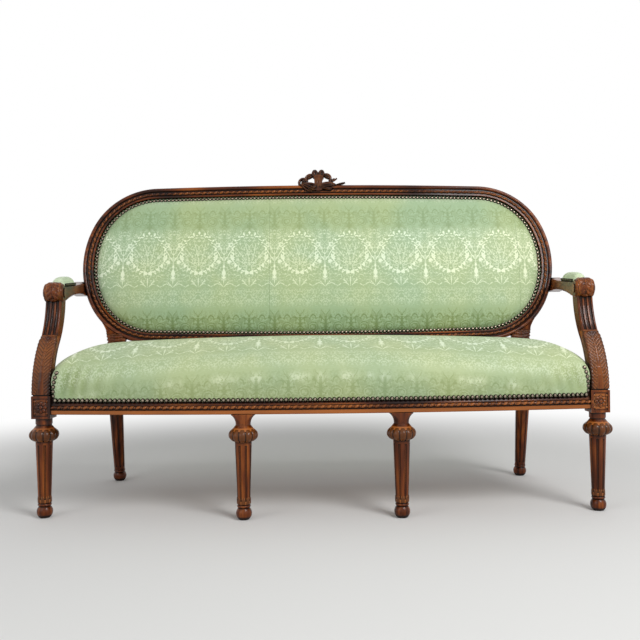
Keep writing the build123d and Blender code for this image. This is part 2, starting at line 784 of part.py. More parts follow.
# Arm supports: a double curve from the leg block up to the arm, with three flutes near the top
support_rise = arm_height - block_top
half_run = support_run / 2
support_curve = (half_run**2 + (support_rise / 2) ** 2) / (2 * half_run)
flute_centre_y = support_base_y + support_run - support_curve
with BuildPart() as arm_support:
    with BuildSketch(Plane((support_x, support_base_y, block_top), (0, 1, 0), (1, 0, 0))):
        with BuildLine():
            lower_front = TangentArc((0, 0), (half_run, support_rise / 2), tangent=(0, 1))
            TangentArc((half_run, support_rise / 2), (support_run, support_rise), tangent=lower_front % 1)
            Line((support_run, support_rise), (support_run + support_depth, support_rise))
            upper_rear = TangentArc(
                (support_run + support_depth, support_rise),
                (half_run + support_depth, support_rise / 2),
                tangent=(0, -1),
            )
            TangentArc(
                (half_run + support_depth, support_rise / 2),
                (support_depth, 0),
                tangent=upper_rear % 1,
            )
            Line((support_depth, 0), (0, 0))
        make_face()
    extrude(amount=support_width / 2, both=True)
    fillet(arm_support.edges().filter_by(GeomType.CIRCLE), 5)
    with BuildSketch(Plane.XY.offset(arm_height)):
        with Locations((support_x, flute_centre_y + support_curve)):
            with GridLocations(support_width * 0.28, 1, 3, 1):
                Circle(flute_radius + 1)
    revolve(
        axis=Axis((0, flute_centre_y, arm_height), (1, 0, 0)),
        revolution_arc=-34,
        mode=Mode.SUBTRACT,
    )
    add(arm_whole, mode=Mode.SUBTRACT)
    with Locations((support_x, peg_y, support_top)):
        Cylinder(peg_radius, 2 * peg_length)
    with Locations((leg_x, leg_y, block_top)):
        Cylinder(peg_radius, 2 * peg_length)
save_pair(arm_support, "arm_support")

# Arm pads, crowned, on the flat seats of the arms
with BuildPart() as arm_pad:
    pad_middle = arm_side.from_local_coords((pad_start + pad_length / 2, pad_seat, 0))
    pad_plane = Plane(pad_middle, arm_run, arm_side.y_dir)
    for angle in (0, 35, 65, 84):
        draw_in = 15 * (1 - cos(radians(angle)))
        with BuildSketch(pad_plane.offset(soft_gap + pad_height * sin(radians(angle)))):
            RectangleRounded(pad_length - 2 * draw_in, arm_width - 4 - 2 * draw_in, 16 - draw_in * 0.75)
    loft()
save_pair(arm_pad, "arm_pad")


# Carved ribbon bow on the crest
def ribbon(start, through, end, thick, wide, ahead=0.0):
    """Adds one curved ribbon of the bow, with an oval section."""
    with BuildLine(crest_plane.offset(ahead)) as curve:
        ThreePointArc(start, through, end)
    path = curve.line.edge()
    with BuildSketch(Plane(path @ 0, crest_plane.z_dir, path % 0)) as section:
        Ellipse(wide / 2, thick / 2)
    sweep(section.sketch, path=path)


crest_middle = back_point(0, back_half_height, (crest_back + frame_front) / 2)
crest_plane = Plane(crest_middle, (1, 0, 0), back_plane.z_dir)
crest_half = (frame_front - crest_back) / 2
with BuildPart() as crest:
    with BuildSketch(crest_plane):
        with BuildLine():
            Polyline((-10, -4), (15, -4), (20, 30))
            ThreePointArc((20, 30), (4, 36), (-12, 30))
            Line((-12, 30), (-10, -4))
        make_face()
    extrude(amount=crest_half + 5)
    with BuildSketch(crest_plane.offset(crest_half - 0.5)):
        with BuildLine():
            Polyline((-10, 2), (15, 2), (18, -18))
            ThreePointArc((18, -18), (3, -24), (-13, -18))
            Line((-13, -18), (-10, 2))
        make_face()
    extrude(amount=5.5)
    with BuildSketch(crest_plane):
        with Locations((-4, crest_height - 16)):
            Ellipse(9.5, 16)
        with Locations((15, crest_height - 17)):
            Ellipse(8.5, 15)
    extrude(amount=crest_half - 3, both=True)
    ribbon((-6, 26), (-27, 40), (-38, 12), ribbon_thick, ribbon_wide)
    ribbon((-36, 16), (-47, 25), (-56, -3), ribbon_thick, ribbon_wide)
    ribbon((18, 26), (37, 41), (46, 24), ribbon_thick, ribbon_wide)
    ribbon((46, 27), (45, 12), (58, -3), ribbon_thick, ribbon_wide)
    ribbon((42, 12), (56, 17), (69, 27), ribbon_thick * 0.6, ribbon_wide * 0.5)
    ribbon((52, 1), (74, 3), (98, 11), ribbon_thick * 0.6, ribbon_wide * 0.5)
    ribbon((-4, -4), (-30, 4), (-57, -3), ribbon_thick, ribbon_wide * 0.7, crest_half)
    ribbon((-52, -2), (-42, -16), (-20, -23), ribbon_thick * 0.8, ribbon_wide * 0.6, crest_half)
    ribbon((8, -6), (-14, -12), (-27, -22), ribbon_thick * 0.8, ribbon_wide * 0.6, crest_half)
    ribbon((8, -4), (36, 6), (62, -2), ribbon_thick, ribbon_wide * 0.7, crest_half)
    ribbon((6, -8), (28, -9), (50, -16), ribbon_thick * 0.8, ribbon_wide * 0.6, crest_half)
    with BuildSketch(back_plane.offset(-frame_front)):
        oval(-joint_gap / 4)
    extrude(amount=2 * frame_front, mode=Mode.SUBTRACT)
save(crest, "crest_bow")


# Seat upholstery
def seat_outline(level, inset):
    """Draws the seat's plan on the sketch level, at a distance inside the rails' cover faces."""
    front = cover_face - inset
    outward = front * sqrt(1 + side_slope**2)
    wide = side_x(bow_y(leg_x + front, front)) + outward
    rear = post_y + rail_half - 2 - inset
    narrow = side_x(rear) + outward
    with BuildLine() as outline:
        ThreePointArc((-wide, bow_y(wide, front)), (0, bow_y(0, front)), (wide, bow_y(wide, front)))
        Polyline((wide, bow_y(wide, front)), (narrow, rear), (-narrow, rear), (-wide, bow_y(wide, front)))
    make_face(outline.edges())
    fillet(level.vertices(), seat_corner + inset * 0.2)


def seat_form(skin):
    """Adds the crowned form of the seat, at a distance inside the outer side of its cover."""
    base = -cloth - soft_gap + skin
    straight = (seat_shoulder - cover_line) / 2
    levels = []
    for step in (0, 1, 2):
        swell = seat_bulge * sin(radians(45 * step))
        with BuildSketch(Plane.XY.offset(cover_line + straight * step)) as level:
            seat_outline(level, base - swell)
        levels.append(level.sketch)
    for angle in (22, 44, 62, 76):
        drawn_in = seat_roll * (1 - cos(radians(angle)))
        height = (seat_crown - seat_shoulder - skin) * sin(radians(angle))
        with BuildSketch(Plane.XY.offset(seat_shoulder + height)) as level:
            seat_outline(level, base - seat_bulge + drawn_in)
        levels.append(level.sketch)
    loft(levels)


def cut_corners():
    """Cuts the seat's corners free of the leg blocks, the arm supports and the posts."""
    notch = support_front + support_depth
    for side in (1, -1):
        with Locations((side * (leg_inner_x - soft_gap - 2), leg_y + notch, cover_line)):
            Box(
                4 * block_size,
                8 * block_size,
                2 * seat_crown,
                align=(Align.MIN if side == 1 else Align.MAX, Align.MAX, Align.CENTER),
                mode=Mode.SUBTRACT,
            )
        with Locations((side * (post_inner_x - soft_gap - 2), post_front_y - soft_gap - 2, cover_line)):
            Box(
                4 * post_width,
                4 * post_depth,
                2 * seat_crown,
                align=(Align.MIN if side == 1 else Align.MAX, Align.MIN, Align.CENTER),
                mode=Mode.SUBTRACT,
            )


with BuildPart() as seat_inside:
    seat_form(cloth)

with BuildPart() as seat_cover:
    seat_form(0)
    add(seat_inside.part, mode=Mode.SUBTRACT)
    cut_corners()
save(seat_cover, "seat_cover")

well_depth = seat_depth - well_front - well_rear
well_mid_y = leg_y + well_front + well_depth / 2
with BuildPart() as seat_stuffing:
    seat_form(cloth + 3 * soft_gap)
    with Locations((0, 0, rail_top + soft_gap)):
        Box(
            4 * leg_x,
            4 * seat_depth,
            rail_height * 3,
            align=(Align.CENTER, Align.CENTER, Align.MAX),
            mode=Mode.SUBTRACT,
        )
    cut_corners()
    with Locations((0, well_mid_y, rail_top)):
        Box(2 * well_half_width, well_depth, 2 * (well_top - rail_top), mode=Mode.SUBTRACT)
save(seat_stuffing, "seat_stuffing")

with BuildPart() as hessian:
    with Locations((0, well_mid_y, well_top - soft_gap)):
        Box(
            2 * well_half_width - 2 * soft_gap,
            well_depth - 2 * soft_gap,
            web_thickness,
            align=(Align.CENTER, Align.CENTER, Align.MAX),
        )
save(hessian, "seat_hessian")

# Seat webbing: straps front to back under the rails, and straps side to side under those
web_pitch = mid_x / 2
with BuildPart() as web_across:
    for index in (0, 1, 3, 4, 5):
        for side in (1, -1):
            front_end = bow_y(index * web_pitch, -rail_half / 3)
            with Locations((side * index * web_pitch, front_end, rail_bottom)):
                Box(
                    web_width,
                    post_y + rail_half / 3 - front_end,
                    web_thickness,
                    align=(Align.CENTER, Align.MIN, Align.MAX),
                )
save(web_across, "seat_webbing_front_to_back")

with BuildPart() as web_along:
    for share in (0.25, 0.5, 0.75):
        y = leg_y + seat_depth * share
        with Locations((0, y, rail_bottom - web_thickness)):
            Box(2 * side_x(y), web_width, web_thickness, align=(Align.CENTER, Align.CENTER, Align.MAX))
save(web_along, "seat_webbing_side_to_side")

# Springs between the webbing and the hessian, each one wire in half-turn curls
spring_low = rail_bottom + spring_wire
spring_high = well_top - soft_gap - web_thickness - spring_wire
half_turns = 2 * spring_turns
climb = (spring_high - spring_low) / half_turns
print("least gap between the springs' curls", round(2 * climb - 2 * spring_wire, 1), "mm")
with BuildPart() as spring:
    with BuildLine() as coil:
        for step in range(half_turns):
            way = 1 if step % 2 == 0 else -1
            z = spring_low + climb * step
            ThreePointArc(
                (way * spring_radius, 0, z),
                (0, way * spring_radius, z + climb / 2),
                (-way * spring_radius, 0, z + climb),
            )
    with BuildSketch(Plane(coil.line @ 0, z_dir=coil.line % 0)):
        Circle(spring_wire)
    sweep(path=coil.line)

with BuildPart() as springs:
    for index in (1, 3, 5):
        for side in (1, -1):
            with Locations((side * index * web_pitch, well_mid_y, 0)):
                add(spring.part)
save(springs, "seat_springs")


# Back upholstery
def back_form(skin):
    """Adds the crowned form of the back, at a distance inside the outer side of its cover."""
    levels = []
    for angle in (0, 24, 48, 72):
        drawn_in = back_roll * (1 - cos(radians(angle)))
        height = (back_crown - skin) * sin(radians(angle))
        with BuildSketch(back_plane.offset(rebate_depth + height)) as level:
            oval(lip_inset + soft_gap + skin + drawn_in)
        levels.append(level.sketch)
    loft(levels)


with BuildPart() as back_inside:
    back_form(cloth)

with BuildPart() as back_cover:
    back_form(0)
    add(back_inside.part, mode=Mode.SUBTRACT)
save(back_cover, "back_cover")

with BuildPart() as back_stuffing:
    back_form(cloth + 3 * soft_gap)
    with BuildSketch(back_plane):
        oval(0)
    extrude(amount=rebate_depth + 2 * web_thickness + soft_gap, mode=Mode.SUBTRACT)
save(back_stuffing, "back_stuffing")

with BuildPart() as back_web_upright:
    with BuildSketch(back_plane.offset(rebate_depth)):
        with GridLocations(2 * web_pitch * 0.75, 1, 9, 1):
            Rectangle(web_width, 4 * back_half_height)
    extrude(amount=web_thickness)
    with BuildSketch(back_plane):
        oval(lip_inset + 3 * cloth)
    extrude(amount=2 * rebate_depth, mode=Mode.INTERSECT)
save(back_web_upright, "back_webbing_upright")

with BuildPart() as back_web_level:
    with BuildSketch(back_plane.offset(rebate_depth + web_thickness)):
        with GridLocations(1, back_half_height * 0.5, 1, 3):
            Rectangle(4 * back_half_width, web_width)
    extrude(amount=web_thickness)
    with BuildSketch(back_plane):
        oval(lip_inset + 3 * cloth)
    extrude(amount=2 * rebate_depth, mode=Mode.INTERSECT)
save(back_web_level, "back_webbing_level")

with BuildPart() as back_outer_cover:
    with BuildSketch(back_plane):
        oval(lip_inset)
    extrude(amount=-cloth)
save(back_outer_cover, "back_outer_cover")
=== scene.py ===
# %% [markdown]
# # A carved settee with an oval back
# The solid model gives the frame: legs, rails, oval, arms and crest, all in one shared space.
# This lesson dresses it. The cloth is stretched and padded, the nails and the carved ribbon run along
# their paths, and each wood, cloth and metal gets its own finish.

# %% Load the solid model
import json
import math
import bmesh
import bpy
from mathutils import Matrix, Vector
from mathutils.bvhtree import BVHTree


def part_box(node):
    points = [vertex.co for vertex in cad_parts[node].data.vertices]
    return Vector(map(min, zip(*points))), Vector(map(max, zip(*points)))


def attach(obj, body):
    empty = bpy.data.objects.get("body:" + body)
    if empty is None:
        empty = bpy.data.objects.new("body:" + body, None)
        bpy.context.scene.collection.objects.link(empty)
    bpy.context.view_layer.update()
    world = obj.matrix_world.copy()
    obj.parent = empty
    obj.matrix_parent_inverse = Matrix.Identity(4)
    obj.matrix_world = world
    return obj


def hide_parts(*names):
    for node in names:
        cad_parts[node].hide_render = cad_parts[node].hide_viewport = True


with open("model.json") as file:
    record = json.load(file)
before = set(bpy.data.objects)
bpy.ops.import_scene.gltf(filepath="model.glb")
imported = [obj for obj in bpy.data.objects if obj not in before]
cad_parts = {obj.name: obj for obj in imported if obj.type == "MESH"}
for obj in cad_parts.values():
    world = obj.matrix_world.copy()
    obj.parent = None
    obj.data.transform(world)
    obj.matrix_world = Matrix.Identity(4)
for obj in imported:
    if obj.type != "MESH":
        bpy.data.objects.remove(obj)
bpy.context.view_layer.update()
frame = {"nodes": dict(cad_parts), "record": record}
solids = frame["nodes"]
scene = bpy.context.scene
for spare in ("Cube", "Light", "Camera"):
    if spare in bpy.data.objects:
        bpy.data.objects.remove(bpy.data.objects[spare])
scene.view_settings.view_transform = "Standard"
sides = (("left", -1), ("right", 1))


def in_scene(name, data):
    """A new object, linked to the scene."""
    made = bpy.data.objects.new(name, data)
    scene.collection.objects.link(made)
    return made


print("solid pieces:", len(solids))

# %% [markdown]
# ## Camera
# The picture was taken from the height of a seated person's chest, about two metres in front of the legs,
# almost square on. A camera is set by its place, three turns and its lens; these come from the feet and
# the oval.

# %% Camera
eye = Vector((-0.030, -2.3127, 0.533))
yaw, pitch, roll = -0.75, 0.15, -0.57
sensor_width, picture_width, focal_pixels = 36.0, 640, 740
camera_data = bpy.data.cameras.new("front_view")
camera_data.sensor_width = sensor_width
camera_data.lens = sensor_width * focal_pixels / picture_width
camera = in_scene("front_view", camera_data)
turn = Matrix.Rotation(math.radians(yaw), 4, "Z") @ Matrix.Rotation(math.radians(90 + pitch), 4, "X")
camera.matrix_world = Matrix.Translation(eye) @ turn @ Matrix.Rotation(math.radians(roll), 4, "Z")
scene.camera = camera
print("camera lens", round(camera_data.lens, 1), "mm")

# %% [markdown]
# ## Writing node trees as sums
# A finish is a tree of nodes. Written node by node it is long and hard to read, so one small class wraps a
# socket: adding or multiplying two of them adds the Math node, and `node` makes any other kind.


# %% A socket that can be added and multiplied
class Wire:
    """A socket in a node tree. Sums on it add Math nodes, and node() adds any other node."""

    def __init__(self, tree, socket=None):
        self.tree, self.socket = tree, socket

    def node(self, kind, settings=None, sockets=None, out=0):
        made = self.tree.nodes.new(kind)
        for name, value in (settings or {}).items():
            if name == "stops":
                elements = made.color_ramp.elements
                while len(elements) < len(value):
                    elements.new(1.0)
                for element, (place, colour) in zip(elements, value):
                    element.position, element.color = place, (*colour, 1)
            else:
                setattr(made, name, value)
        for key, value in (sockets or {}).items():
            if isinstance(value, Wire):
                self.tree.links.new(value.socket, made.inputs[key])
            else:
                made.inputs[key].default_value = value
        return Wire(self.tree, made.outputs[out])

    def out(self, name):
        return Wire(self.tree, self.socket.node.outputs[name])

    def fn(self, operation, *others):
        return self.node("ShaderNodeMath", {"operation": operation}, dict(enumerate((self, *others))))

    def __add__(self, other):
        return self.fn("ADD", other)

    def __sub__(self, other):
        return self.fn("SUBTRACT", other)

    def __rsub__(self, other):
        return self.node("ShaderNodeMath", {"operation": "SUBTRACT"}, {0: other, 1: self})

    def __mul__(self, other):
        return self.fn("MULTIPLY", other)

    def __truediv__(self, other):
        return self.fn("DIVIDE", other)

    def __abs__(self):
        return self.fn("ABSOLUTE")

    __radd__, __rmul__ = __add__, __mul__

    def ramp(self, low, high):
        """0 below low and 1 above high, smooth between; low may be the greater one."""
        settings = {"interpolation_type": "SMOOTHSTEP"}
        return self.node("ShaderNodeMapRange", settings, {"Value": self, "From Min": low, "From Max": high})

    def mix(self, first, second):
        """Colour first where this is 0 and second where it is 1."""
        first, second = (end if isinstance(end, Wire) else (*end, 1) for end in (first, second))
        return self.node("ShaderNodeMix", {"data_type": "RGBA"}, {0: self, 6: first, 7: second}, 2)


print("wires ready")


# %% Short words for what every finish needs
def linear(red, green, blue):
    """A colour as a painter's chart gives it, 0 to 255, turned to the light values that shaders use."""
    shares = (part / 255 for part in (red, green, blue))
    return tuple(s / 12.92 if s < 0.0404 else ((s + 0.055) / 1.055) ** 2.4 for s in shares)


def finish(name):
    """A new material: its tree's first wire, its shader node and the material."""
    material = bpy.data.materials.new(name)
    material.use_nodes = True
    tree = material.node_tree
    return material, Wire(tree), tree.nodes["Principled BSDF"]


def feed(wire, shader, name):
    wire.tree.links.new(wire.socket, shader.inputs[name])


def plain(shader, values):
    """Sets what is the same all over the surface."""
    for name, value in values.items():
        shader.inputs[name].default_value = value


def bumped(start, shader, strength, distance, height):
    bump = start.node("ShaderNodeBump", {}, {"Strength": strength, "Distance": distance, "Height": height})
    feed(bump, shader, "Normal")


def stretched(start, scale):
    """Object coordinates, scaled along each axis."""
    place = start.node("ShaderNodeTexCoord", out="Object")
    return start.node("ShaderNodeMapping", {}, {"Vector": place, "Scale": scale})


def noise(start, vector, scale, detail):
    return start.node("ShaderNodeTexNoise", {}, {"Vector": vector, "Scale": scale, "Detail": detail})


def attribute(start, name):
    """A number that the mesh carries at each point."""
    return start.node("ShaderNodeAttribute", {"attribute_name": name}, out="Fac")


def weave_place(start):
    """The cloth's own coordinates in metres: this wire is along the cloth, and its out("Y") is up it."""
    return start.node("ShaderNodeSeparateXYZ", {}, {0: start.node("ShaderNodeUVMap", {"uv_map": "weave"})})


def dress(mesh, material):
    """Gives a mesh one material and no other."""
    mesh.materials.clear()
    mesh.materials.append(material)


print("helpers ready")

# %% [markdown]
# ## Walnut
# The show wood is walnut, stained and French polished: a warm red brown with long darker streaks. Its
# recesses are painted nearly black, partly grime and partly painted shade, and its edges are painted gold,
# partly wear and partly a painted highlight. The grain is noise drawn out along the length of each stick,
# so there is one finish for each direction. Ambient occlusion finds the recesses and, looked at from inside
# the wood, the edges.


# %% Wood finish
def wood(name, stretch, tones, polish, rubbed=0.5, floor_lit_below=None):
    """Streaked wood. One number sets how far its edges are painted gold, partly wear and partly a painted
    highlight; below a given height its face is painted gold too, a painted highlight of light from the floor.
    """
    dark, middle, light = tones
    material, start, shader = finish(name)
    streak = noise(start, stretched(start, stretch), 1.0, 6.0)
    cloud = noise(start, stretched(start, (5, 5, 5)), 1.0, 2.0)
    pores = noise(start, stretched(start, tuple(7 * s for s in stretch)), 1.0, 3.0)
    stops = [(0.38, dark), (0.52, middle), (0.66, light)]
    figure = start.node("ShaderNodeValToRGB", {"stops": stops}, {0: streak * 0.6 + cloud * 0.4})
    recess = start.node("ShaderNodeAmbientOcclusion", {"samples": 8}, {"Distance": 0.011}, "AO")
    edge = start.node("ShaderNodeAmbientOcclusion", {"samples": 6, "inside": True}, {"Distance": 0.004}, "AO")
    # Edges found from inside the wood are painted gold: partly wear, partly a painted highlight.
    worn_and_lit = (1 - edge).ramp(0.32, 0.80) * cloud.ramp(0.25, 0.55) * rubbed
    # Below the given height the face is painted gold as well: a painted highlight of light from the floor.
    if floor_lit_below:
        place = start.node("ShaderNodeTexCoord", out="Object")
        height = start.node("ShaderNodeSeparateXYZ", {}, {0: place}, "Z")
        worn_and_lit = worn_and_lit.fn("MAXIMUM", height.ramp(floor_lit_below + 0.002, floor_lit_below - 0.004) * 0.6)
    # Recesses found by ambient occlusion and the low parts of carved skins are darkened to near black: partly
    # grime, partly painted shade.
    grime_and_shade = (recess.ramp(0.98, 0.70) * 0.94).fn("MAXIMUM", attribute(start, "hollow").ramp(0.35, 0.95) * 0.88)
    gold_wear_highlight = (1.45 * light[0], 1.75 * light[1], 2.8 * light[2])
    shade_grime_tone = tuple(0.22 * part for part in dark)
    feed(grime_and_shade.mix(worn_and_lit.mix(figure, gold_wear_highlight), shade_grime_tone), shader, "Base Color")
    feed(0.56 - polish * 0.34 + pores * 0.18 + grime_and_shade * 0.3, shader, "Roughness")
    plain(shader, {"Specular IOR Level": 0.1, "Coat Weight": 0.3 * polish, "Coat Roughness": 0.12})
    bumped(start, shader, 0.2, 0.0006, pores + streak * 0.5)
    return material


print("wood finish ready")

# %% Woods laid on the solid pieces
upright_grain, across_grain, deep_grain = (70, 70, 6), (6, 70, 70), (70, 6, 70)
rail_foot = 0.300
walnut_tones = (linear(38, 13, 4), linear(98, 44, 12), linear(152, 82, 28))
dark_tones = [tuple(0.42 * part for part in tone) for tone in walnut_tones]
beech_tones = (linear(150, 112, 74), linear(178, 140, 98), linear(196, 160, 118))
# After the polish, each wood's next number sets how far its edges are painted gold: partly wear, partly a
# painted highlight.
walnut_upright = wood("walnut_upright", upright_grain, walnut_tones, 0.95, 0.8)
walnut_across = wood("walnut_across", across_grain, walnut_tones, 0.95)
walnut_deep = wood("walnut_deep", deep_grain, walnut_tones, 0.95)
# The front rail is painted paler below rail_foot: a painted highlight of light from the floor on its lower
# bead.
walnut_rail = wood("walnut_rail", across_grain, walnut_tones, 0.95, 0.5, rail_foot)
walnut_carved = wood("walnut_carved", upright_grain, walnut_tones, 1.0, 0.85)
walnut_dark = wood("walnut_dark", upright_grain, dark_tones, 1.0, 0.6)
beech_across = wood("beech_across", (5, 60, 60), beech_tones, 0.2)
beech_deep = wood("beech_deep", (60, 5, 60), beech_tones, 0.2)
slots = {part["node"]: part["material_slot"] for part in frame["record"]["subparts"]}
for name, piece in solids.items():
    deep = name.endswith(("_arm", "side_rail", "cross_rail"))
    if slots[name] == "walnut":
        upright = "leg" in name or "support" in name
        chosen = walnut_upright if upright else walnut_deep if deep else walnut_across
        dress(piece.data, {"front_seat_rail": walnut_rail, "crest_bow": walnut_dark}.get(name, chosen))
    elif slots[name] == "beech":
        dress(piece.data, beech_deep if deep else beech_across)
print("wood laid on the solid pieces")

# %% [markdown]
# ## Steel and old brass
# The springs and screws are plain steel. The nails that edge the cloth are domed and antiqued: almost black
# in the hollows between them, with a painted highlight on the crown of each head.


# %% Metal finishes
def spotted_metal(name):
    """A metal still to be coloured: its material, first wire and shader, and its fine spotting."""
    material, start, shader = finish(name)
    plain(shader, {"Metallic": 0.9})
    return material, start, shader, noise(start, stretched(start, (1, 1, 1)), 240.0, 3.0)


def plain_metal(name, dull, bright, rough):
    material, start, shader, spots = spotted_metal(name)
    feed(spots.ramp(0.35, 0.7).mix(dull, bright), shader, "Base Color")
    feed(spots * 0.25 + rough, shader, "Roughness")
    return material


def nail_finish(name, rim, crown):
    """Dark metal with a painted highlight at the crown; the nail's attribute tells how near the crown a point
    is.
    """
    material, start, shader, spots = spotted_metal(name)
    # The crown of each head is painted bright: a painted highlight.
    bright = attribute(start, "rubbed").ramp(0.62, 1.0) * (spots.ramp(0.25, 0.6) * 0.5 + 0.5)
    feed(bright.mix(rim, crown), shader, "Base Color")
    feed(0.46 - bright * 0.18, shader, "Roughness")
    return material


steel = plain_metal("spring_steel", (0.30, 0.30, 0.31), (0.5, 0.5, 0.51), 0.25)
old_brass = nail_finish("antique_nail", (0.010, 0.007, 0.004), (0.34, 0.28, 0.21))
for name in ("seat_springs", "corner_brace_screws"):
    dress(solids[name].data, steel)
print("metals ready")

# %% [markdown]
# ## Damask
# The cover is a silk damask in sage green. The figure is woven, not printed: it is the same thread turned to
# the light another way, so it shows paler and a little yellower. The traditional drawing has a row of oval
# wreaths round a bouquet, with scrolls and drops between them, a festoon below and palmettes under that.
# Each motif is a distance worked out from the cloth's own coordinates, in metres, and repeated.

# %% Strokes of the drawing
repeat_wide, repeat_high, row_foot = 0.173, 0.375, 0.229


def reach_of(a, b):
    """How far a point is that lies a across and b up."""
    return (a * a + b * b).fn("SQRT")


def stroke(distance, half, soft=0.0008):
    """A line where the distance is 0, half wide to each side."""
    return abs(distance).ramp(half + soft, half - soft)


def within(value, start_at, end_at, soft=0.003):
    return value.ramp(start_at - soft, start_at + soft) * value.ramp(end_at + soft, end_at - soft)


def either(*masks):
    joined_mask = masks[0]
    for mask in masks[1:]:
        joined_mask = joined_mask.fn("MAXIMUM", mask)
    return joined_mask


def diamond(across, up, wide, high, inner=0.8):
    """A small pointed leaf round the place where across and up are 0."""
    return (across / wide + abs(up) / high).ramp(1.1, inner)


def spray(across, up, leaves, thin, end, spread):
    """A fan of leaves that ends at a distance from its stem."""
    reach, lean = reach_of(across, up), across.fn("ARCTAN2", up)
    fan = (lean * leaves).fn("COSINE").ramp(thin, 0.85)
    return fan * within(reach, 0.006, end) * abs(lean).ramp(spread, spread - 0.2)


print("damask repeat", repeat_wide, "by", repeat_high, "m")


# %% The row of wreaths
def wreath_row(x, y, loose_x, loose_y, leafy, lace):
    """Wreaths round a bouquet, scrolls and drops between them, and a chain of sprays below."""
    near = abs(x)
    gap, loose_gap = repeat_wide / 2 - near, repeat_wide / 2 - loose_x
    ring, turn_at = reach_of(loose_x / 0.057, loose_y / 0.067), near.fn("ARCTAN2", y)
    strand = abs(ring - 1 + (turn_at * 24).fn("SINE") * 0.03) / (turn_at.ramp(0.7, 1.5) * 0.045 + 0.032)
    wreath = strand.ramp(1.2, 0.8) * leafy.ramp(0.40, 0.50)
    wreath = either(wreath, stroke(ring - 0.86, 0.016, 0.008) * leafy.ramp(0.45, 0.52) * 0.7)
    tips = (turn_at * 30).fn("SINE").ramp(0.1, 0.6) * within(ring, 0.98, 1.17, 0.03)
    tips = tips * turn_at.ramp(1.9, 2.3) * leafy.ramp(0.3, 0.4)
    knots = reach_of((loose_x - 0.059) / 0.006, (loose_y + 0.012) / 0.016).ramp(1.1, 0.8)
    knots = either(knots, reach_of((loose_x - 0.069) / 0.008, (loose_y + 0.030) / 0.006).ramp(1.1, 0.8))
    knots = knots * leafy.ramp(0.32, 0.42)
    leaf_at = abs((turn_at / 0.27 + 0.5).fn("FRACT") - 0.5) * 0.27 * 0.064
    crown = (leaf_at / 0.0042 + abs(ring - 1.12) / 0.11).ramp(1.15, 0.75)
    crown = crown * turn_at.ramp(1.05, 0.9) * leafy.ramp(0.30, 0.45)
    stem_y = y + 0.052
    reach, fan = reach_of(x, stem_y), x.fn("ARCTAN2", stem_y)
    spoke = abs(((fan + reach * 2) / 0.42 + 0.5).fn("FRACT") - 0.5) * 0.42 * reach
    stems = stroke(spoke, 0.0010) * within(reach, 0.010, 0.090) * abs(fan).ramp(1.5, 1.3)
    heads = reach_of(spoke, reach - 0.050).ramp(0.0080, 0.0055) * leafy.ramp(0.42, 0.52)
    bouquet = either(stems, heads, lace) * ring.ramp(0.90, 0.80) * 0.72
    vee = stroke(loose_gap - (y + 0.030) * 0.62, 0.0017) * within(y, -0.026, 0.026)
    vee = either(vee, stroke(loose_gap - (y + 0.008) * 0.50, 0.0014) * within(y, -0.006, 0.032))
    vee = either(vee, stroke(reach_of(loose_gap - 0.022, loose_y - 0.030) - 0.007, 0.0018))
    cord = stroke(gap, 0.0009) * within(y, -0.088, 0.010) * 0.8
    drop = either(diamond(gap, y + 0.070, 0.0075, 0.019, 0.85), diamond(gap, y + 0.047, 0.0045, 0.009), cord)
    drop = either(drop, diamond(gap, y + 0.086, 0.009, 0.006))
    filling = lace * ring.ramp(1.10, 1.20) * within(y, -0.100, 0.085, 0.012) * 0.62
    scallop = abs((x * (math.pi / 0.0432)).fn("SINE")) * 0.010
    chain = stroke(loose_y + 0.118 - scallop, 0.0013) * leafy.ramp(0.34, 0.48) * 0.75
    sprays = either(spray(x, y + 0.122, 9, 0.55, 0.036, 1.35), spray(gap, y + 0.118, 8, 0.6, 0.024, 1.6))
    sprays = sprays * leafy.ramp(0.34, 0.46) * 0.8
    specks = either(leafy.ramp(0.55, 0.61), lace) * within(y, -0.185, -0.125, 0.015) * 0.42
    return either(wreath, tips, knots, crown, bouquet, vee, drop, filling, chain, sprays, specks)


print("wreath row ready")


# %% The row of palmettes
def palmette_row(x, loose_y, leafy, curl):
    """Two palmettes to a repeat, with leafy trunks between them."""
    half_wide = repeat_wide / 2
    foot_y = ((loose_y + row_foot) / repeat_high + 0.5).fn("FRACT") * repeat_high - repeat_high / 2
    foot_x = ((x / half_wide).fn("FRACT") - 0.5) * half_wide
    shell_y = foot_y + 0.030
    shell, spread = reach_of(foot_x, shell_y), foot_x.fn("ARCTAN2", shell_y)
    lobes = abs((spread * 4.5).fn("COSINE"))
    palmette = stroke(shell - lobes * 0.012 - 0.030, 0.0026) * abs(spread).ramp(2.3, 2.1)
    palmette = either(palmette, stroke(shell - 0.0095, 0.0018), stroke(shell - 0.0165, 0.0014))
    side = repeat_wide / 4 - abs(foot_x)
    trunk = stroke(side, 0.0042) * within(foot_y, -0.060, 0.012) * leafy.ramp(0.32, 0.42)
    twigs = stroke(foot_y + 0.012 - side * 1.1, 0.0020) * within(side, 0.002, 0.020)
    twigs = either(twigs, stroke(foot_y - 0.008 - side * 1.4, 0.0018) * within(side, 0.002, 0.015))
    leaves = either(curl.ramp(0.54, 0.60), leafy.ramp(0.54, 0.60))
    leaves = leaves * within(foot_y, -0.065, 0.022, 0.02) * 0.55
    return either(palmette * leafy.ramp(0.30, 0.42), trunk, twigs, leaves)


print("palmette row ready")


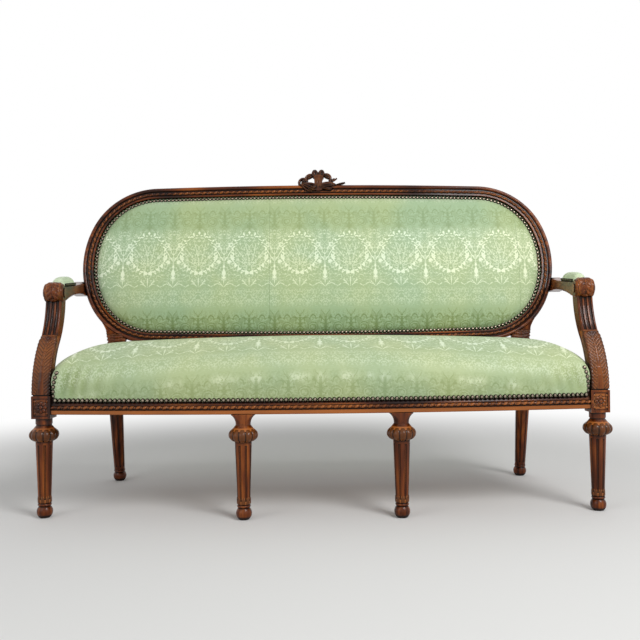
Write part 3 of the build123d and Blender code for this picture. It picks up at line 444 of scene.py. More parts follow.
# %% Damask finish
def damask(name, tones, lift, along, deepest, show, roll_at=None, seams=()):
    """Figured silk: lift and along place the drawing, deepest is where the palmettes are darkest, with
    painted shade, show is how bright the wreaths are, and roll_at is the height of a seat's front roll, with
    its painted highlight."""
    material, start, shader = finish(name)
    place = weave_place(start)
    height = place.out("Y")
    x = (((place - along) / repeat_wide).fn("FRACT") - 0.5) * repeat_wide
    y = ((height - lift + row_foot) / repeat_high).fn("FRACT") * repeat_high - row_foot
    near = abs(x)
    folded = start.node("ShaderNodeCombineXYZ", {}, {0: near, 1: y, 2: 0.31})
    fine = start.node("ShaderNodeCombineXYZ", {}, {0: near, 1: y, 2: 1.7})
    twirl, leafy = noise(start, fine, 105.0, 1.0), noise(start, fine, 215.0, 1.5)
    curl = noise(start, folded, 62.0, 1.5)
    lace = either(abs(curl - 0.5).ramp(0.040, 0.015), abs(twirl - 0.47).ramp(0.035, 0.012))
    lace = either(lace * leafy.ramp(0.38, 0.50), leafy.ramp(0.58, 0.63) * curl.ramp(0.42, 0.52))
    loose_x = near + (noise(start, folded, 85.0, 2.0) - 0.5) * 0.013
    loose_y = y + (noise(start, fine, 85.0, 2.0) - 0.5) * 0.013
    upper = wreath_row(x, y, loose_x, loose_y, leafy, lace)
    band = palmette_row(x, loose_y, leafy, curl)

    slub = noise(start, stretched(start, (40, 900, 900)), 1.0, 3.0)
    fade = noise(start, stretched(start, (5, 5, 5)), 1.0, 3.0).ramp(0.3, 0.7)
    ground = fade.mix(*tones)
    pale = fade.mix(linear(238, 252, 226), linear(244, 252, 214))
    shadow = fade.mix(linear(114, 138, 84), linear(128, 144, 74))
    # The palmettes are drawn dark, and darker towards the bottom of each cover: painted shade and a painted
    # change of sheen.
    depth = height.ramp(deepest + 0.22, deepest + 0.04) * 0.33 + 0.52
    cloth = (band * (1 - upper) * depth).mix(ground, shadow)
    if roll_at:
        # A patchy pale band along the front roll: a painted highlight.
        rubbed = noise(start, stretched(start, (26, 5, 5)), 1.0, 3.0).ramp(0.42, 0.66)
        rubbed = within(height, roll_at, roll_at + 0.020, 0.014) * rubbed * leafy.ramp(0.36, 0.60)
        cloth = (lace * (1 - upper) * (1 - band) * 0.2).mix(cloth, shadow)
        cloth = (rubbed * 0.6).mix(cloth, pale)
        # The folds by the arm supports are painted dark: painted shade.
        cloth = (attribute(start, "crease") * 0.7).mix(cloth, shadow)
    cloth = (upper * show).mix(cloth, pale)
    cloth = (slub.ramp(0.35, 0.75) * 0.16).mix(cloth, linear(205, 222, 182))
    stitch = 0.0
    for seam in seams:
        stitch = stroke(place - seam, 0.0008, 0.0006) + stitch
    if seams:
        cloth = (stitch * 0.55).mix(cloth, linear(120, 142, 98))
    if roll_at:
        hessian = slub.ramp(0.3, 0.7).mix(linear(104, 82, 54), linear(146, 120, 86))
        cloth = attribute(start, "lining").mix(cloth, hessian)
    feed(cloth, shader, "Base Color")
    feed(0.46 - upper * 0.12 + slub * 0.14, shader, "Roughness")
    plain(shader, {"Specular IOR Level": 0.35, "Sheen Weight": 0.12, "Sheen Roughness": 0.4})
    weft, warp = (height * (2 * math.pi / 0.0011)).fn("SINE"), (place * (2 * math.pi / 0.0009)).fn("SINE")
    relief = either(upper, band) * 0.7 + (weft * 0.5 + warp * 0.3) * 0.25 + slub * 0.4 - stitch * 1.5
    bumped(start, shader, 0.22, 0.0005, relief)
    return material


back_tones = (linear(163, 189, 149), linear(176, 194, 143))
seat_tones = (linear(167, 187, 145), linear(181, 195, 145))
# The arm pads take the same damask in paler tones: painted light on their tops.
pad_lit_tones = (linear(196, 216, 186), linear(206, 222, 184))
back_damask = damask("damask_back", back_tones, 0.030, 0.022, -0.25, 0.95, seams=(-0.168, 0.692))
seat_damask = damask("damask_seat", seat_tones, 0.285, -0.004, -0.16, 0.85, roll_at=0.058)
pad_damask = damask("damask_pad", pad_lit_tones, 0.135, -0.004, -0.3, 0.5)
print("damask nodes:", len(back_damask.node_tree.nodes))

# %% [markdown]
# ## Jute
# Under the seat the load is carried by webbing, coarse jute straps, with hessian over the springs. Both are
# plain weave in natural brown; two sets of stripes crossing over and under give the cloth its squares.


# %% Jute finish
def jute(name, thread, dark, light):
    material, start, shader = finish(name)
    place = weave_place(start)
    over = (place * (math.pi / thread)).fn("SINE") * (place.out("Y") * (math.pi / thread)).fn("SINE")
    fuzz = noise(start, stretched(start, (1, 1, 1)), 700.0, 3.0)
    feed((over * 0.25 + fuzz * 0.9).ramp(0.1, 0.8).mix(dark, light), shader, "Base Color")
    feed(0.80 + fuzz * 0.15, shader, "Roughness")
    bumped(start, shader, 0.5, 0.0008, abs(over) + fuzz * 0.4)
    return material


webbing_jute = jute("webbing_jute", 0.0022, linear(112, 82, 52), linear(176, 142, 100))
hessian_jute = jute("hessian_jute", 0.0016, linear(120, 92, 60), linear(184, 152, 110))
print("jute ready")

# %% [markdown]
# ## Making a piece
# Every finished piece is one mesh at the origin that rides on the frame. These helpers take points and
# faces, turn all faces outwards, add the cloth coordinates where the piece is woven, and give it its finish.


# %% Piece helpers
def mesh_of(name, points, faces, cloth=None):
    mesh = bpy.data.meshes.new(name)
    mesh.from_pydata([tuple(p) for p in points], [], faces)
    if cloth:
        layer = mesh.uv_layers.new(name="weave")
        for loop in mesh.loops:
            layer.data[loop.index].uv = cloth[loop.vertex_index]
    mesh.update()
    return mesh


def mark_points(mesh, name, values):
    """Gives each point a number that a finish can read."""
    layer = mesh.attributes.new(name, "FLOAT", "POINT")
    for item, value in zip(layer.data, values):
        item.value = value


def tidy(mesh, gap=1e-5):
    """Merges doubles, drops empty faces and turns the rest outwards."""
    work = bmesh.new()
    work.from_mesh(mesh)
    bmesh.ops.remove_doubles(work, verts=work.verts, dist=gap)
    bmesh.ops.dissolve_degenerate(work, edges=work.edges, dist=gap / 10)
    bmesh.ops.recalc_face_normals(work, faces=work.faces)
    for face in work.faces:
        face.smooth = True
    work.to_mesh(mesh)
    work.free()


def stand(name, mesh, material, slot, *replaced):
    """Puts a finished mesh in the scene as a piece of the settee."""
    piece = in_scene(name, mesh)
    dress(mesh, material)
    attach(piece, "root")
    if replaced:
        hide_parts(*replaced)
    return piece


def bake_down(piece):
    """The piece's mesh with its modifiers applied, and the modifiers removed."""
    graph = bpy.context.evaluated_depsgraph_get()
    mesh = bpy.data.meshes.new_from_object(piece.evaluated_get(graph))
    piece.modifiers.clear()
    return mesh


def modified(mesh, kind, **settings):
    """The mesh after one modifier."""
    work = in_scene("work", mesh)
    modifier = work.modifiers.new(kind.lower(), kind)
    for name, value in settings.items():
        setattr(modifier, name, value)
    result = bake_down(work)
    bpy.data.objects.remove(work)
    return result


def smoothed(mesh):
    """One round of subdivision, applied."""
    return modified(mesh, "SUBSURF", levels=1, render_levels=1, boundary_smooth="PRESERVE_CORNERS")


print("piece helpers ready")


# %% Path helpers
def span(path):
    return sum(math.dist(a, b) for a, b in zip(path, path[1:]))


def even(path, count):
    """A path cut into equal steps, both ends kept."""
    runs = [0.0]
    for a, b in zip(path, path[1:]):
        runs.append(runs[-1] + math.dist(a, b))
    points, k = [], 0
    for i in range(count):
        want = runs[-1] * i / (count - 1)
        while k < len(runs) - 2 and runs[k + 1] < want:
            k += 1
        share = (want - runs[k]) / max(runs[k + 1] - runs[k], 1e-9)
        points.append(tuple(a + (b - a) * share for a, b in zip(path[k], path[k + 1])))
    return points


def rounded(corners):
    """A path through (x, y, radius) corners, each turned with an arc of that radius."""
    path = []
    for i, (x, y, radius) in enumerate(corners):
        here = Vector((x, y))
        if radius == 0 or i in (0, len(corners) - 1):
            path.append((x, y))
            continue
        back = (Vector(corners[i - 1][:2]) - here).normalized()
        ahead = (Vector(corners[i + 1][:2]) - here).normalized()
        half = back.angle(ahead) / 2
        middle = here + (back + ahead).normalized() * radius / math.sin(half)
        first = here + back * radius / math.tan(half) - middle
        sweep = first.angle_signed(here + ahead * radius / math.tan(half) - middle)
        for k in range(7):
            path.append(tuple(middle + Matrix.Rotation(-sweep * k / 6, 2) @ first))
    return path


def clamp(value, limit):
    return max(-limit, min(limit, value))


def steps(half, count):
    """Even steps from -half to half."""
    return [-half + 2 * half * k / count for k in range(count + 1)]


print("path helpers ready")

# %% [markdown]
# ## The shape of the frame
# The cloth, nails and ribbon follow the frame, so its main curves are written here once more, in metres:
# the bowed front rail, the side rails that close in to the rear, and the leaning oval of arcs.

# %% Curves of the frame
leg_x, leg_y, post_x, post_y = 0.770, -0.252663, 0.685, 0.177337
middle_leg_x, middle_leg_y = 0.215, -0.300626
seat_depth = 0.430
bow_radius, bow_middle = 5.72696, 5.422299
rake = math.radians(12)
back_origin = Vector((0, 0.276635, 0.732217))
back_up = Vector((0, math.sin(rake), math.cos(rake)))
back_front = Vector((0, -math.cos(rake), math.sin(rake)))
side_out_way = Vector((seat_depth, leg_x - post_x, 0)).normalized()
side_mid, side_round, side_from = 0.486, 0.327, 24
corner_x, corner_y, corner_round = 0.559852, 0.032881, 0.246159
corner_from, corner_sweep = 88.2685, 64.2685
long_mid, long_round, long_joint = 18.4874, 18.7749, 0.5673


def bow_y(x, ahead=0.0):
    return bow_middle - math.sqrt((bow_radius + ahead) ** 2 - x * x)


def bow_facing(x, y):
    """The outward way of the bowed rail."""
    return Vector((x, y - bow_middle, 0)).normalized()


def side_x(y, out=0.0):
    return leg_x - (y - leg_y) * (leg_x - post_x) / seat_depth + out / side_out_way.x


def side_facing(mark):
    """The outward way of a side rail."""
    return Vector((mark * side_out_way.x, side_out_way.y, 0))


def on_back(x, y, ahead=0.0):
    return back_origin + Vector((x, 0, 0)) + back_up * y + back_front * ahead


def long_y(x, inset):
    return -long_mid + math.sqrt((long_round - inset) ** 2 - x * x)


def corner_top(x, inset):
    """Height of the oval's corner arc over the oval's middle, for x on the right."""
    return corner_y + math.sqrt((corner_round - inset) ** 2 - (x - corner_x) ** 2)


def oval_end(x_from, inset):
    """Right-hand end of the oval, from the top at x_from round to the bottom, inset from its outer edge."""
    path = [(x, long_y(x, inset)) for x in (x_from, (x_from + long_joint) / 2)]
    reach = corner_round - inset
    for k in range(25):
        angle = math.radians(corner_from - corner_sweep * k / 24)
        path.append((corner_x + reach * math.cos(angle), corner_y + reach * math.sin(angle)))
    reach = side_round - inset
    for k in range(1, 12):
        angle = math.radians(side_from - 2 * k)
        path.append((side_mid + reach * math.cos(angle), reach * math.sin(angle)))
    return path + [(x, -y) for x, y in reversed(path)][1:]


print("oval top at", round(long_y(0, 0), 4), "m above its middle")

# %% [markdown]
# ## Padded cloth
# The seat and the back are tight upholstery: cloth pulled over stuffing and nailed down all round. Each
# starts as rings of points from the nail line in to the middle, a little lower than the real dome. The
# cloth solver then blows it up from inside with its edge held, which gives the soft, slightly uneven crown
# that stuffing has. The rings keep the cloth's own coordinates, so the damask stays true.


# %% Rings, and the swelling
def ringed(outline, targets, rings, place):
    """Points of nested rings and their cloth coordinates, measured along the surface from the middle line."""
    pairs = list(zip(outline, targets))
    columns = []
    for edge, middle in pairs:
        columns.append([place(edge, middle, math.dist(edge, middle), ring) for ring in rings])
    points, cloth = [], []
    for k in range(len(rings)):
        for (edge, middle), column in zip(pairs, columns):
            run = span(column[k:])
            way = (Vector(edge) - Vector(middle)).normalized()
            points.append(column[k])
            cloth.append((middle[0] + way.x * run, middle[1] + way.y * run))
    return points, cloth


def ring_faces(count, rings, first=0):
    faces = []
    for k in range(rings - 1):
        low, high = first + k * count, first + (k + 1) * count
        for i in range(count):
            j = (i + 1) % count
            faces.append((low + i, low + j, high + j, high + i))
    return faces


def closed_cover(name, points, cloth, count, rings):
    """The rings of a cover and, joined to its edge, the hidden rings after them that close it behind."""
    first = rings * count
    faces = ring_faces(count, rings)
    faces += [(i, first + i, first + (i + 1) % count, (i + 1) % count) for i in range(count)]
    hidden = ring_faces(count, len(points) // count - rings, first)
    return mesh_of(name, points, faces + [tuple(reversed(f)) for f in hidden], cloth)


def swell(piece, held, pressure, most, last_frame=18):
    """Blows the cloth up with its held points fixed, and stops each point after the distance most."""
    rest = [v.co.copy() for v in piece.data.vertices]
    group = piece.vertex_groups.new(name="held")
    group.add(held, 1.0, "REPLACE")
    cloth = piece.modifiers.new("cloth", "CLOTH")
    stiffness = {"tension": 25, "compression": 25, "shear": 10, "bending": 1.0}
    for name, value in stiffness.items():
        setattr(cloth.settings, name + "_stiffness", value)
    cloth.settings.quality = 6
    cloth.settings.mass = 0.35
    cloth.settings.use_pressure = True
    cloth.settings.uniform_pressure_force = pressure
    cloth.settings.effector_weights.gravity = 0
    cloth.settings.vertex_group_mass = "held"
    cloth.collision_settings.use_collision = False
    cloth.point_cache.frame_start, cloth.point_cache.frame_end = 1, last_frame
    for number in range(1, last_frame + 1):
        scene.frame_set(number)
    mesh = bake_down(piece)
    moved = 0.0
    for vertex, start in zip(mesh.vertices, rest):
        shift = vertex.co - start
        moved = max(moved, shift.length)
        if shift.length > most:
            vertex.co = start + shift * (most / shift.length)
    scene.frame_set(1)
    print(piece.name, "swelled by up to", round(moved * 1000, 1), "mm, kept to", most * 1000)
    return mesh


def puffed(name, points, count, rings, most):
    mesh = mesh_of(name + "_start", points, ring_faces(count, rings))
    work = in_scene(name + "_work", mesh)
    result = swell(work, list(range(count * 2)), 4.0, most)
    points = [v.co.copy() for v in result.vertices]
    bpy.data.objects.remove(work)
    return points


print("ring helpers ready")

# %% Back cover
back_edge, back_half, back_face = 0.0373, side_mid, 0.0155
back_hem, back_roll, back_crown = 0.010, 0.19, 0.034
to_middle = 0.99
long_run = steps(back_half, 58)
end_run = even(oval_end(back_half, back_edge), 60)[1:-1]
back_outline = [(x, long_y(x, back_edge)) for x in long_run] + end_run
back_outline += [(x, -long_y(x, back_edge)) for x in reversed(long_run)]
back_outline += [(-x, y) for x, y in reversed(end_run)]
back_targets = [(clamp(x, back_half), 0.0) for x, y in back_outline]
back_rings = [0.0, 0.004, 0.010, 0.017, 0.027, 0.042, 0.060, 0.082, 0.108, 0.14, 0.175, 0.21, to_middle]
rear_rings = [(0.004, 0.0155), (0.016, 0.0188), (to_middle, 0.0188)]


def back_point(edge, middle, share, ahead):
    return on_back(edge[0] + (middle[0] - edge[0]) * share, edge[1] * (1 - share), ahead)


def back_place(edge, middle, reach, ring):
    inward = reach if ring == to_middle else min(ring, reach * 0.93)
    risen = min(max(0, inward - back_hem) / min(back_roll, reach), 1)
    crown = math.sqrt(max(0, 1 - (1 - risen) ** 2))
    return back_point(edge, middle, inward / reach, back_face + back_crown * crown)


points, cloth = ringed(back_outline, back_targets, back_rings, back_place)
count = len(back_outline)
points = puffed("back_cover", points, count, len(back_rings), 0.007)
for ring, ahead in rear_rings:
    for edge, middle in zip(back_outline, back_targets):
        share = 1 if ring == to_middle else ring / math.dist(edge, middle)
        points.append(back_point(edge, middle, share, ahead))
        cloth.append(edge)
cover = closed_cover("back_cover_cloth", points, cloth, count, len(back_rings))
tidy(cover)
back_piece = stand("back_cover_cloth", smoothed(cover), back_damask, "damask", "back_cover", "back_stuffing")
print("back cover faces:", len(back_piece.data.polygons))

# %% [markdown]
# ## Seat cover
# The seat is one broad pad on springs. Its cloth comes up from the nails on the rails, bulges over the edge
# and rolls in to a crown about 170 mm above the rail. At the front corners it is cut round the arm supports,
# where the pull of the cloth leaves soft upright folds.

# %% Seat outline
seat_half, seat_middle = 0.56, -0.06
cloth_out = 0.0158
rear_y = post_y + cloth_out
notch_x, notch_y, rear_notch_x, rear_notch_y = 0.7417, leg_y + 0.063, 0.6577, post_y - 0.0223
seat_run = steps(seat_half, 70)
front_corner = [(x / 1000, bow_y(x / 1000, cloth_out), 0) for x in range(560, 720, 20)]
corner_walk = front_corner + [
    (notch_x, bow_y(notch_x, cloth_out), 0.022),
    (notch_x, notch_y, 0.004),
    (side_x(notch_y, cloth_out), notch_y, 0.010),
    (side_x(rear_notch_y, cloth_out), rear_notch_y, 0.010),
    (rear_notch_x, rear_notch_y, 0.004),
    (rear_notch_x, rear_y, 0.014),
    (seat_half, rear_y, 0),
]
seat_end = even(rounded(corner_walk), 110)[1:-1]
seat_outline = [(x, bow_y(x, cloth_out)) for x in seat_run] + seat_end
seat_outline += [(x, rear_y) for x in reversed(seat_run)] + [(-x, y) for x, y in reversed(seat_end)]
seat_targets = [(clamp(x, seat_half), seat_middle) for x, y in seat_outline]
wall_rings = [("wall", k / 6) for k in range(7)]
roll_rings = [("roll", k / 14) for k in range(1, 15)]
seat_rings = wall_rings + roll_rings + [("top", 0.5), ("top", 1.0)]
print("points round the seat:", len(seat_outline))

# %% Seat cover
seat_foot, wall_rise, wall_bulge = 0.320, 0.055, 0.009
wall_top, crown_rise, seat_roll = 0.375, 0.114, 0.20
notch_from, notch_wall, swelled_wall = 0.336, 0.7455, 0.7458
well_half, well_front, well_rear, well_top = 0.596, -0.1885, 0.1240, 0.4118
fold_foot, fold_high = 0.328, 0.105
seat_folds = (
    (0.722, 0.030, 0.0040),
    (0.716, 0.007, 0.0080),
    (0.690, 0.008, 0.0085),
    (0.660, 0.009, 0.0065),
    (0.622, 0.011, 0.0042),
    (0.570, 0.014, 0.0025),
)


def seat_place(edge, middle, reach, ring):
    kind, step = ring
    roll = min(seat_roll, reach * 0.92)
    if kind == "wall":
        inward = -wall_bulge * math.sin(step * math.pi / 2)
        z = seat_foot + wall_rise * step
    else:
        angle = step * math.pi / 2 if kind == "roll" else math.pi / 2
        inward = roll * (1 - math.cos(angle)) - wall_bulge * math.cos(angle)
        z = wall_top + crown_rise * math.sin(angle)
        if kind == "top":
            inward = roll + (reach - roll) * step
    share = inward / reach
    x = edge[0] + (middle[0] - edge[0]) * share
    y = edge[1] + (middle[1] - edge[1]) * share
    z += max(0, (z - wall_top) / crown_rise) * (0.003 - 0.018 * (x / 0.7) ** 2)
    if y < notch_y and z > notch_from:
        x = clamp(x, notch_wall)
    return Vector((x, y, z))


def pulled_in(point):
    """How deep the folds by the arm supports lie at a point; those on the left are deeper."""
    up = (point.z - fold_foot) / fold_high
    if point.y >= notch_y - 0.02 or not 0 < up < 1:
        return 0.0
    fade, pulled = math.sin(math.pi * up**0.7) * (1.0 if point.x < 0 else 0.65), 0.0
    for at, wide, deep in seat_folds:
        pulled += fade * deep * math.exp(-(((abs(point.x) - at + 0.030 * up) / wide) ** 2))
    return pulled


points, cloth = ringed(seat_outline, seat_targets, seat_rings, seat_place)
count = len(seat_outline)
front_run = span(points[35::count])
cloth = [(u, v - (seat_middle - front_run)) for u, v in cloth]
points = puffed("seat_cover", points, count, len(seat_rings), 0.008)
fold_shades = []
for point in points:
    if point.y < notch_y and point.z > notch_from:
        point.x = clamp(point.x, swelled_wall)
    pulled = pulled_in(point)
    point.y += pulled
    # How deep the fold lies here; the seat's finish paints it as shade.
    fold_shades.append(min(1.0, pulled / 0.008))
shown = len(points)
under = []
for edge, middle in zip(seat_outline, seat_targets):
    way = (Vector(middle) - Vector(edge)).normalized()
    inner, shelf = Vector(edge) + way * 0.0016, Vector(edge) + way * 0.040
    well = Vector((clamp(edge[0], well_half), max(well_front, min(well_rear, edge[1]))))
    walls = [(inner, 0.3202), (inner, 0.3372), (shelf, 0.3392), (well, 0.346)]
    walls += [(well, well_top), (middle, well_top)]
    under.append([Vector((*spot, z)) for spot, z in walls])
for ring in zip(*under):
    points += ring
    cloth += cloth[:count]
cover = closed_cover("seat_cover_cloth", points, cloth, count, len(seat_rings))
mark_points(cover, "crease", fold_shades)
mark_points(cover, "lining", [0.0] * shown + [1.0] * (len(points) - shown))
tidy(cover)
seat_piece = stand("seat_cover_cloth", smoothed(cover), seat_damask, "damask", "seat_cover", "seat_stuffing")
print("seat cover faces:", len(seat_piece.data.polygons))

# %% [markdown]
# ## Arm pads
# Each arm has a small stuffed pad on its flat. The solid pad is copied, remeshed into even squares, swelled
# with the same solver and rounded, and its cloth coordinates are simply its length and width.

# %% Arm pads
arm_x, arm_rear = 0.772, (0.8173, 0.2449, 0.6541)
pad_foot, pad_half_wide, pad_middle, pad_half_long = 0.018, 0.0235, 0.122, 0.0925


def scroll_middle(mark):
    """The middle of the scroll at the front of an arm."""
    return Vector((mark * arm_x, leg_y + 0.100, 0.625))


def arm_frame(mark):
    """The front of an arm, and its three directions: along it to the rear, across it and up."""
    front, rear = scroll_middle(mark), Vector((mark * arm_rear[0], *arm_rear[1:]))
    run = (rear - front).normalized()
    axis = run.cross(Vector((0, 0, 1))).normalized()
    return front, run, axis, axis.cross(run).normalized()


def arm_pad(side, mark):
    source = solids[f"{side}_arm_pad"].data.copy()
    tidy(source)
    mesh = modified(source, "REMESH", mode="VOXEL", voxel_size=0.004)
    front, run, axis, rise = arm_frame(mark)
    work = in_scene("pad_work", mesh)
    held = [v.index for v in mesh.vertices if (v.co - front).dot(rise) < pad_foot + 0.004]
    mesh = swell(work, held, 3.0, 0.003, 12)
    bpy.data.objects.remove(work)
    for vertex in mesh.vertices:
        place = vertex.co - front
        u, w, h = place.dot(run), place.dot(axis), place.dot(rise)
        round_w = max(0.0, 1 - abs(w / pad_half_wide) ** 2.2) ** 0.5
        round_u = max(0.0, 1 - abs((u - pad_middle) / pad_half_long) ** 4) ** 0.5
        h = pad_foot + (h - pad_foot) * (0.34 + 0.72 * round_w * round_u)
        vertex.co = front + run * u + axis * w + rise * h
    layer = mesh.uv_layers.new(name="weave")
    for loop in mesh.loops:
        place = mesh.vertices[loop.vertex_index].co - front
        layer.data[loop.index].uv = (place.dot(run), place.dot(axis) + 0.12)
    tidy(mesh)
    piece = stand(f"{side}_arm_pad_cloth", smoothed(mesh), pad_damask, "damask", f"{side}_arm_pad")
    print(piece.name, len(mesh.polygons), "faces")


for side, mark in sides:
    arm_pad(side, mark)

# %% [markdown]
# ## Cloth on the back, webbing and hessian
# The outside back is a plain stretched sheet in the rear of the oval. The webbing is strips of coarse jute,
# crossed under the seat and inside the back, and the hessian lies over the springs. All are thin sheets, made
# flat and given their thickness, with their coordinates in metres for the weave.


# %% Thin sheets
def sheet_piece(name, strips, thick, material, slot, rests, *replaced):
    """One sheet piece from strips; each strip is rows of points with their cloth coordinates."""
    points, faces, cloth = [], [], []
    for rows in strips:
        first, wide = len(points), len(rows[0])
        for row in rows:
            for point, coordinate in row:
                points.append(point)
                cloth.append(coordinate)
        for r in range(len(rows) - 1):
            for c in range(wide - 1):
                at = first + r * wide + c
                faces.append((at, at + 1, at + wide + 1, at + wide))
    mesh = mesh_of(name, points, faces, cloth)
    area = sum(p.area for p in mesh.polygons)
    mesh = modified(mesh, "SOLIDIFY", thickness=thick, offset=0)
    tidy(mesh)
    piece = stand(name, mesh, material, slot, *replaced)
    us, vs = [c[0] for c in cloth], [c[1] for c in cloth]
    flat = (max(us) - min(us), max(vs) - min(vs))
    share = area / (flat[0] * flat[1])
    area if share < 0.98 else None
    print(name, "flat", [round(f, 3) for f in flat], "area", round(area, 3))


def strap(a, b, up, count, shift):
    """A straight strap as rows of points; shift keeps its cloth coordinates clear of the others."""
    across = (b - a).normalized().cross(up).normalized() * (web / 2)
    rows = []
    for k in range(count + 1):
        share = k / count
        middle, run = a.lerp(b, share), (b - a).length * share
        rows.append([(middle + across * w, (shift + web / 2 * w, run)) for w in (-1, -0.5, 0, 0.5, 1)])
    return rows


def webbing(name, ends, up, count, rests, replaced):
    """Straps between pairs of ends, as one sheet piece of jute webbing."""
    strips = [strap(a, b, up, count, k * web) for k, (a, b) in enumerate(ends)]
    sheet_piece(name, strips, 0.0014, webbing_jute, "jute", rests, replaced)


web, up = 0.052, Vector((0, 0, 1))
print("sheet helpers ready")

# %% Webbing under the seat
under_z, over_z = 0.2836, 0.2852
rear_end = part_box("seat_webbing_front_to_back")[1][1]
places = [index * 0.1075 for index in (-5, -4, -3, -1, 0, 1, 3, 4, 5)]
ends = [(Vector((x, bow_y(x, -0.006), over_z)), Vector((x, rear_end, over_z))) for x in places]
rails = ["front_seat_rail", "rear_seat_rail"]
webbing("seat_straps_front_to_back", ends, up, 24, rails, "seat_webbing_front_to_back")
places = [leg_y + seat_depth * share for share in (0.25, 0.5, 0.75)]
ends = [(Vector((-side_x(y), y, under_z)), Vector((side_x(y), y, under_z))) for y in places]
rails = ["left_side_rail", "right_side_rail"]
webbing("seat_straps_side_to_side", ends, up, 60, rails, "seat_webbing_side_to_side")

# %% Hessian over the springs
low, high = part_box("seat_hessian")
hessian_z = (low[2] + high[2]) / 2 - 0.0006
rows = []
for r in range(33):
    y = low[1] + (high[1] - low[1]) * r / 32
    row = []
    for c in range(121):
        x = low[0] + (high[0] - low[0]) * c / 120
        dip = 0.0016 * math.cos(x * 27) * math.cos(y * 24)
        row.append((Vector((x, y, hessian_z + min(0, dip))), (x, y)))
    rows.append(row)
sheet_piece("seat_hessian_cloth", [rows], 0.0010, hessian_jute, "jute", ["seat_springs"], "seat_hessian")

# %% Webbing of the back
strap_inset, upright_ahead, level_ahead = 0.042, 0.0158, 0.0174
ends = []
for index in range(-4, 5):
    x = index * 0.161
    corner = abs(x) > corner_x
    top = corner_top(abs(x) + web / 2, strap_inset) if corner else long_y(x, strap_inset)
    ends.append((on_back(x, -top, upright_ahead), on_back(x, top, upright_ahead)))
rails = ["back_top_rail", "back_bottom_rail"]
webbing("back_straps_upright", ends, back_front, 24, rails, "back_webbing_upright")
box_low, box_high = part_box("back_webbing_level")
outer_y = ((box_high[2] - box_low[2]) / math.cos(rake) - web) / 2
ends = []
for y in (-outer_y, 0.0, outer_y):
    far = box_high[0]
    if y:
        far = side_mid + math.sqrt((side_round - strap_inset) ** 2 - (abs(y) + web / 2) ** 2)
    ends.append((on_back(-far, y, level_ahead), on_back(far, y, level_ahead)))
rails = ["left_back_upper_corner", "right_back_upper_corner"]
webbing("back_straps_level", ends, back_front, 60, rails, "back_webbing_level")

# %% Outside back
outer_half, outer_inset = 0.7753, 0.0375
corner_end = corner_x + (corner_round - outer_inset) * math.cos(math.radians(side_from))


def outer_top(x):
    """Half the height of the outside back, x from the middle."""
    if x <= long_joint:
        return long_y(x, outer_inset)
    if x <= corner_end:
        return corner_top(x, outer_inset)
    return math.sqrt(max(1e-6, (side_round - outer_inset) ** 2 - (x - side_mid) ** 2))


rows = []
for r in range(41):
    share = r / 40
    bulge = 0.0006 * (1 - (2 * share - 1) ** 2)
    row = []
    for x in steps(outer_half, 120):
        top = outer_top(abs(x))
        y = -top + 2 * top * share
        row.append((on_back(x, y, -0.0011 - bulge), (-x, y)))
    rows.append(row)
rails = ["back_top_rail", "back_bottom_rail"]
sheet_piece("outside_back_cloth", [rows], 0.0011, back_damask, "damask", rails, "back_outer_cover")

# %% [markdown]
# ## Nails and carved ribbon
# About nine hundred domed nails hold the cloth, head to head, and a ribbon wound on a rod is carved along the
# rails and round the oval. Both are one small shape repeated along a path, which is what Geometry Nodes are
# for: the tree takes the path, the shape, the count and the finish, and each point of the path knows which
# way it faces.


# %% A row of shapes along a path
def row_tree():
    tree = bpy.data.node_groups.new("row_along_path", "GeometryNodeTree")
    for name, kind in (("Path", "Geometry"), ("Shape", "Object"), ("Count", "Int"), ("Finish", "Material")):
        tree.interface.new_socket(name, in_out="INPUT", socket_type=f"NodeSocket{kind}")
    tree.interface.new_socket("Row", in_out="OUTPUT", socket_type="NodeSocketGeometry")
    start = Wire(tree)
    given = start.node("NodeGroupInput", out="Path")
    number = given.out("Count")
    curve = start.node("GeometryNodeMeshToCurve", {}, {"Mesh": given})
    spots = start.node("GeometryNodeCurveToPoints", {"mode": "COUNT"}, {"Curve": curve, "Count": number})
    facing = start.node("GeometryNodeInputNamedAttribute", {"data_type": "FLOAT_VECTOR"}, {"Name": "facing"})
    align = "FunctionNodeAlignRotationToVector"
    along = start.node(align, {"axis": "X"}, {"Vector": spots.out("Tangent")})
    turned = start.node(align, {"axis": "Z", "pivot_axis": "X"}, {"Rotation": along, "Vector": facing})
    shape = start.node("GeometryNodeObjectInfo", {}, {"Object": given.out("Shape")}, "Geometry")
    placed = {"Points": spots, "Instance": shape, "Rotation": turned}
    row = start.node("GeometryNodeInstanceOnPoints", {}, placed)
    real = start.node("GeometryNodeRealizeInstances", {}, {"Geometry": row})
    done = start.node("GeometryNodeSetMaterial", {}, {"Geometry": real, "Material": given.out("Finish")})
    tree.links.new(done.socket, tree.nodes.new("NodeGroupOutput").inputs["Row"])
    return tree


rows_tree = row_tree()


def row_of(path, facing, shape, pitch, material, closed=False):
    """A mesh of one shape repeated along a path, and the count; facing gives each point's outward way."""
    mesh = bpy.data.meshes.new("path")
    edges = [(i, i + 1) for i in range(len(path) - 1)] + ([(len(path) - 1, 0)] if closed else [])
    mesh.from_pydata([tuple(p) for p in path], edges, [])
    directions = mesh.attributes.new("facing", "FLOAT_VECTOR", "POINT")
    for item, direction in zip(directions.data, facing):
        item.vector = direction
    run = span(path) + (math.dist(path[-1], path[0]) if closed else 0)
    number = round(run / pitch) + (0 if closed else 1)
    piece = in_scene("path", mesh)
    maker = piece.modifiers.new("row", "NODES")
    maker.node_group = rows_tree
    values = {"Shape": shape, "Count": number, "Finish": material}
    for item in rows_tree.interface.items_tree:
        if item.in_out == "INPUT" and item.name in values:
            maker[item.identifier] = values[item.name]
    result = bake_down(piece)
    bpy.data.objects.remove(piece)
    return result, number


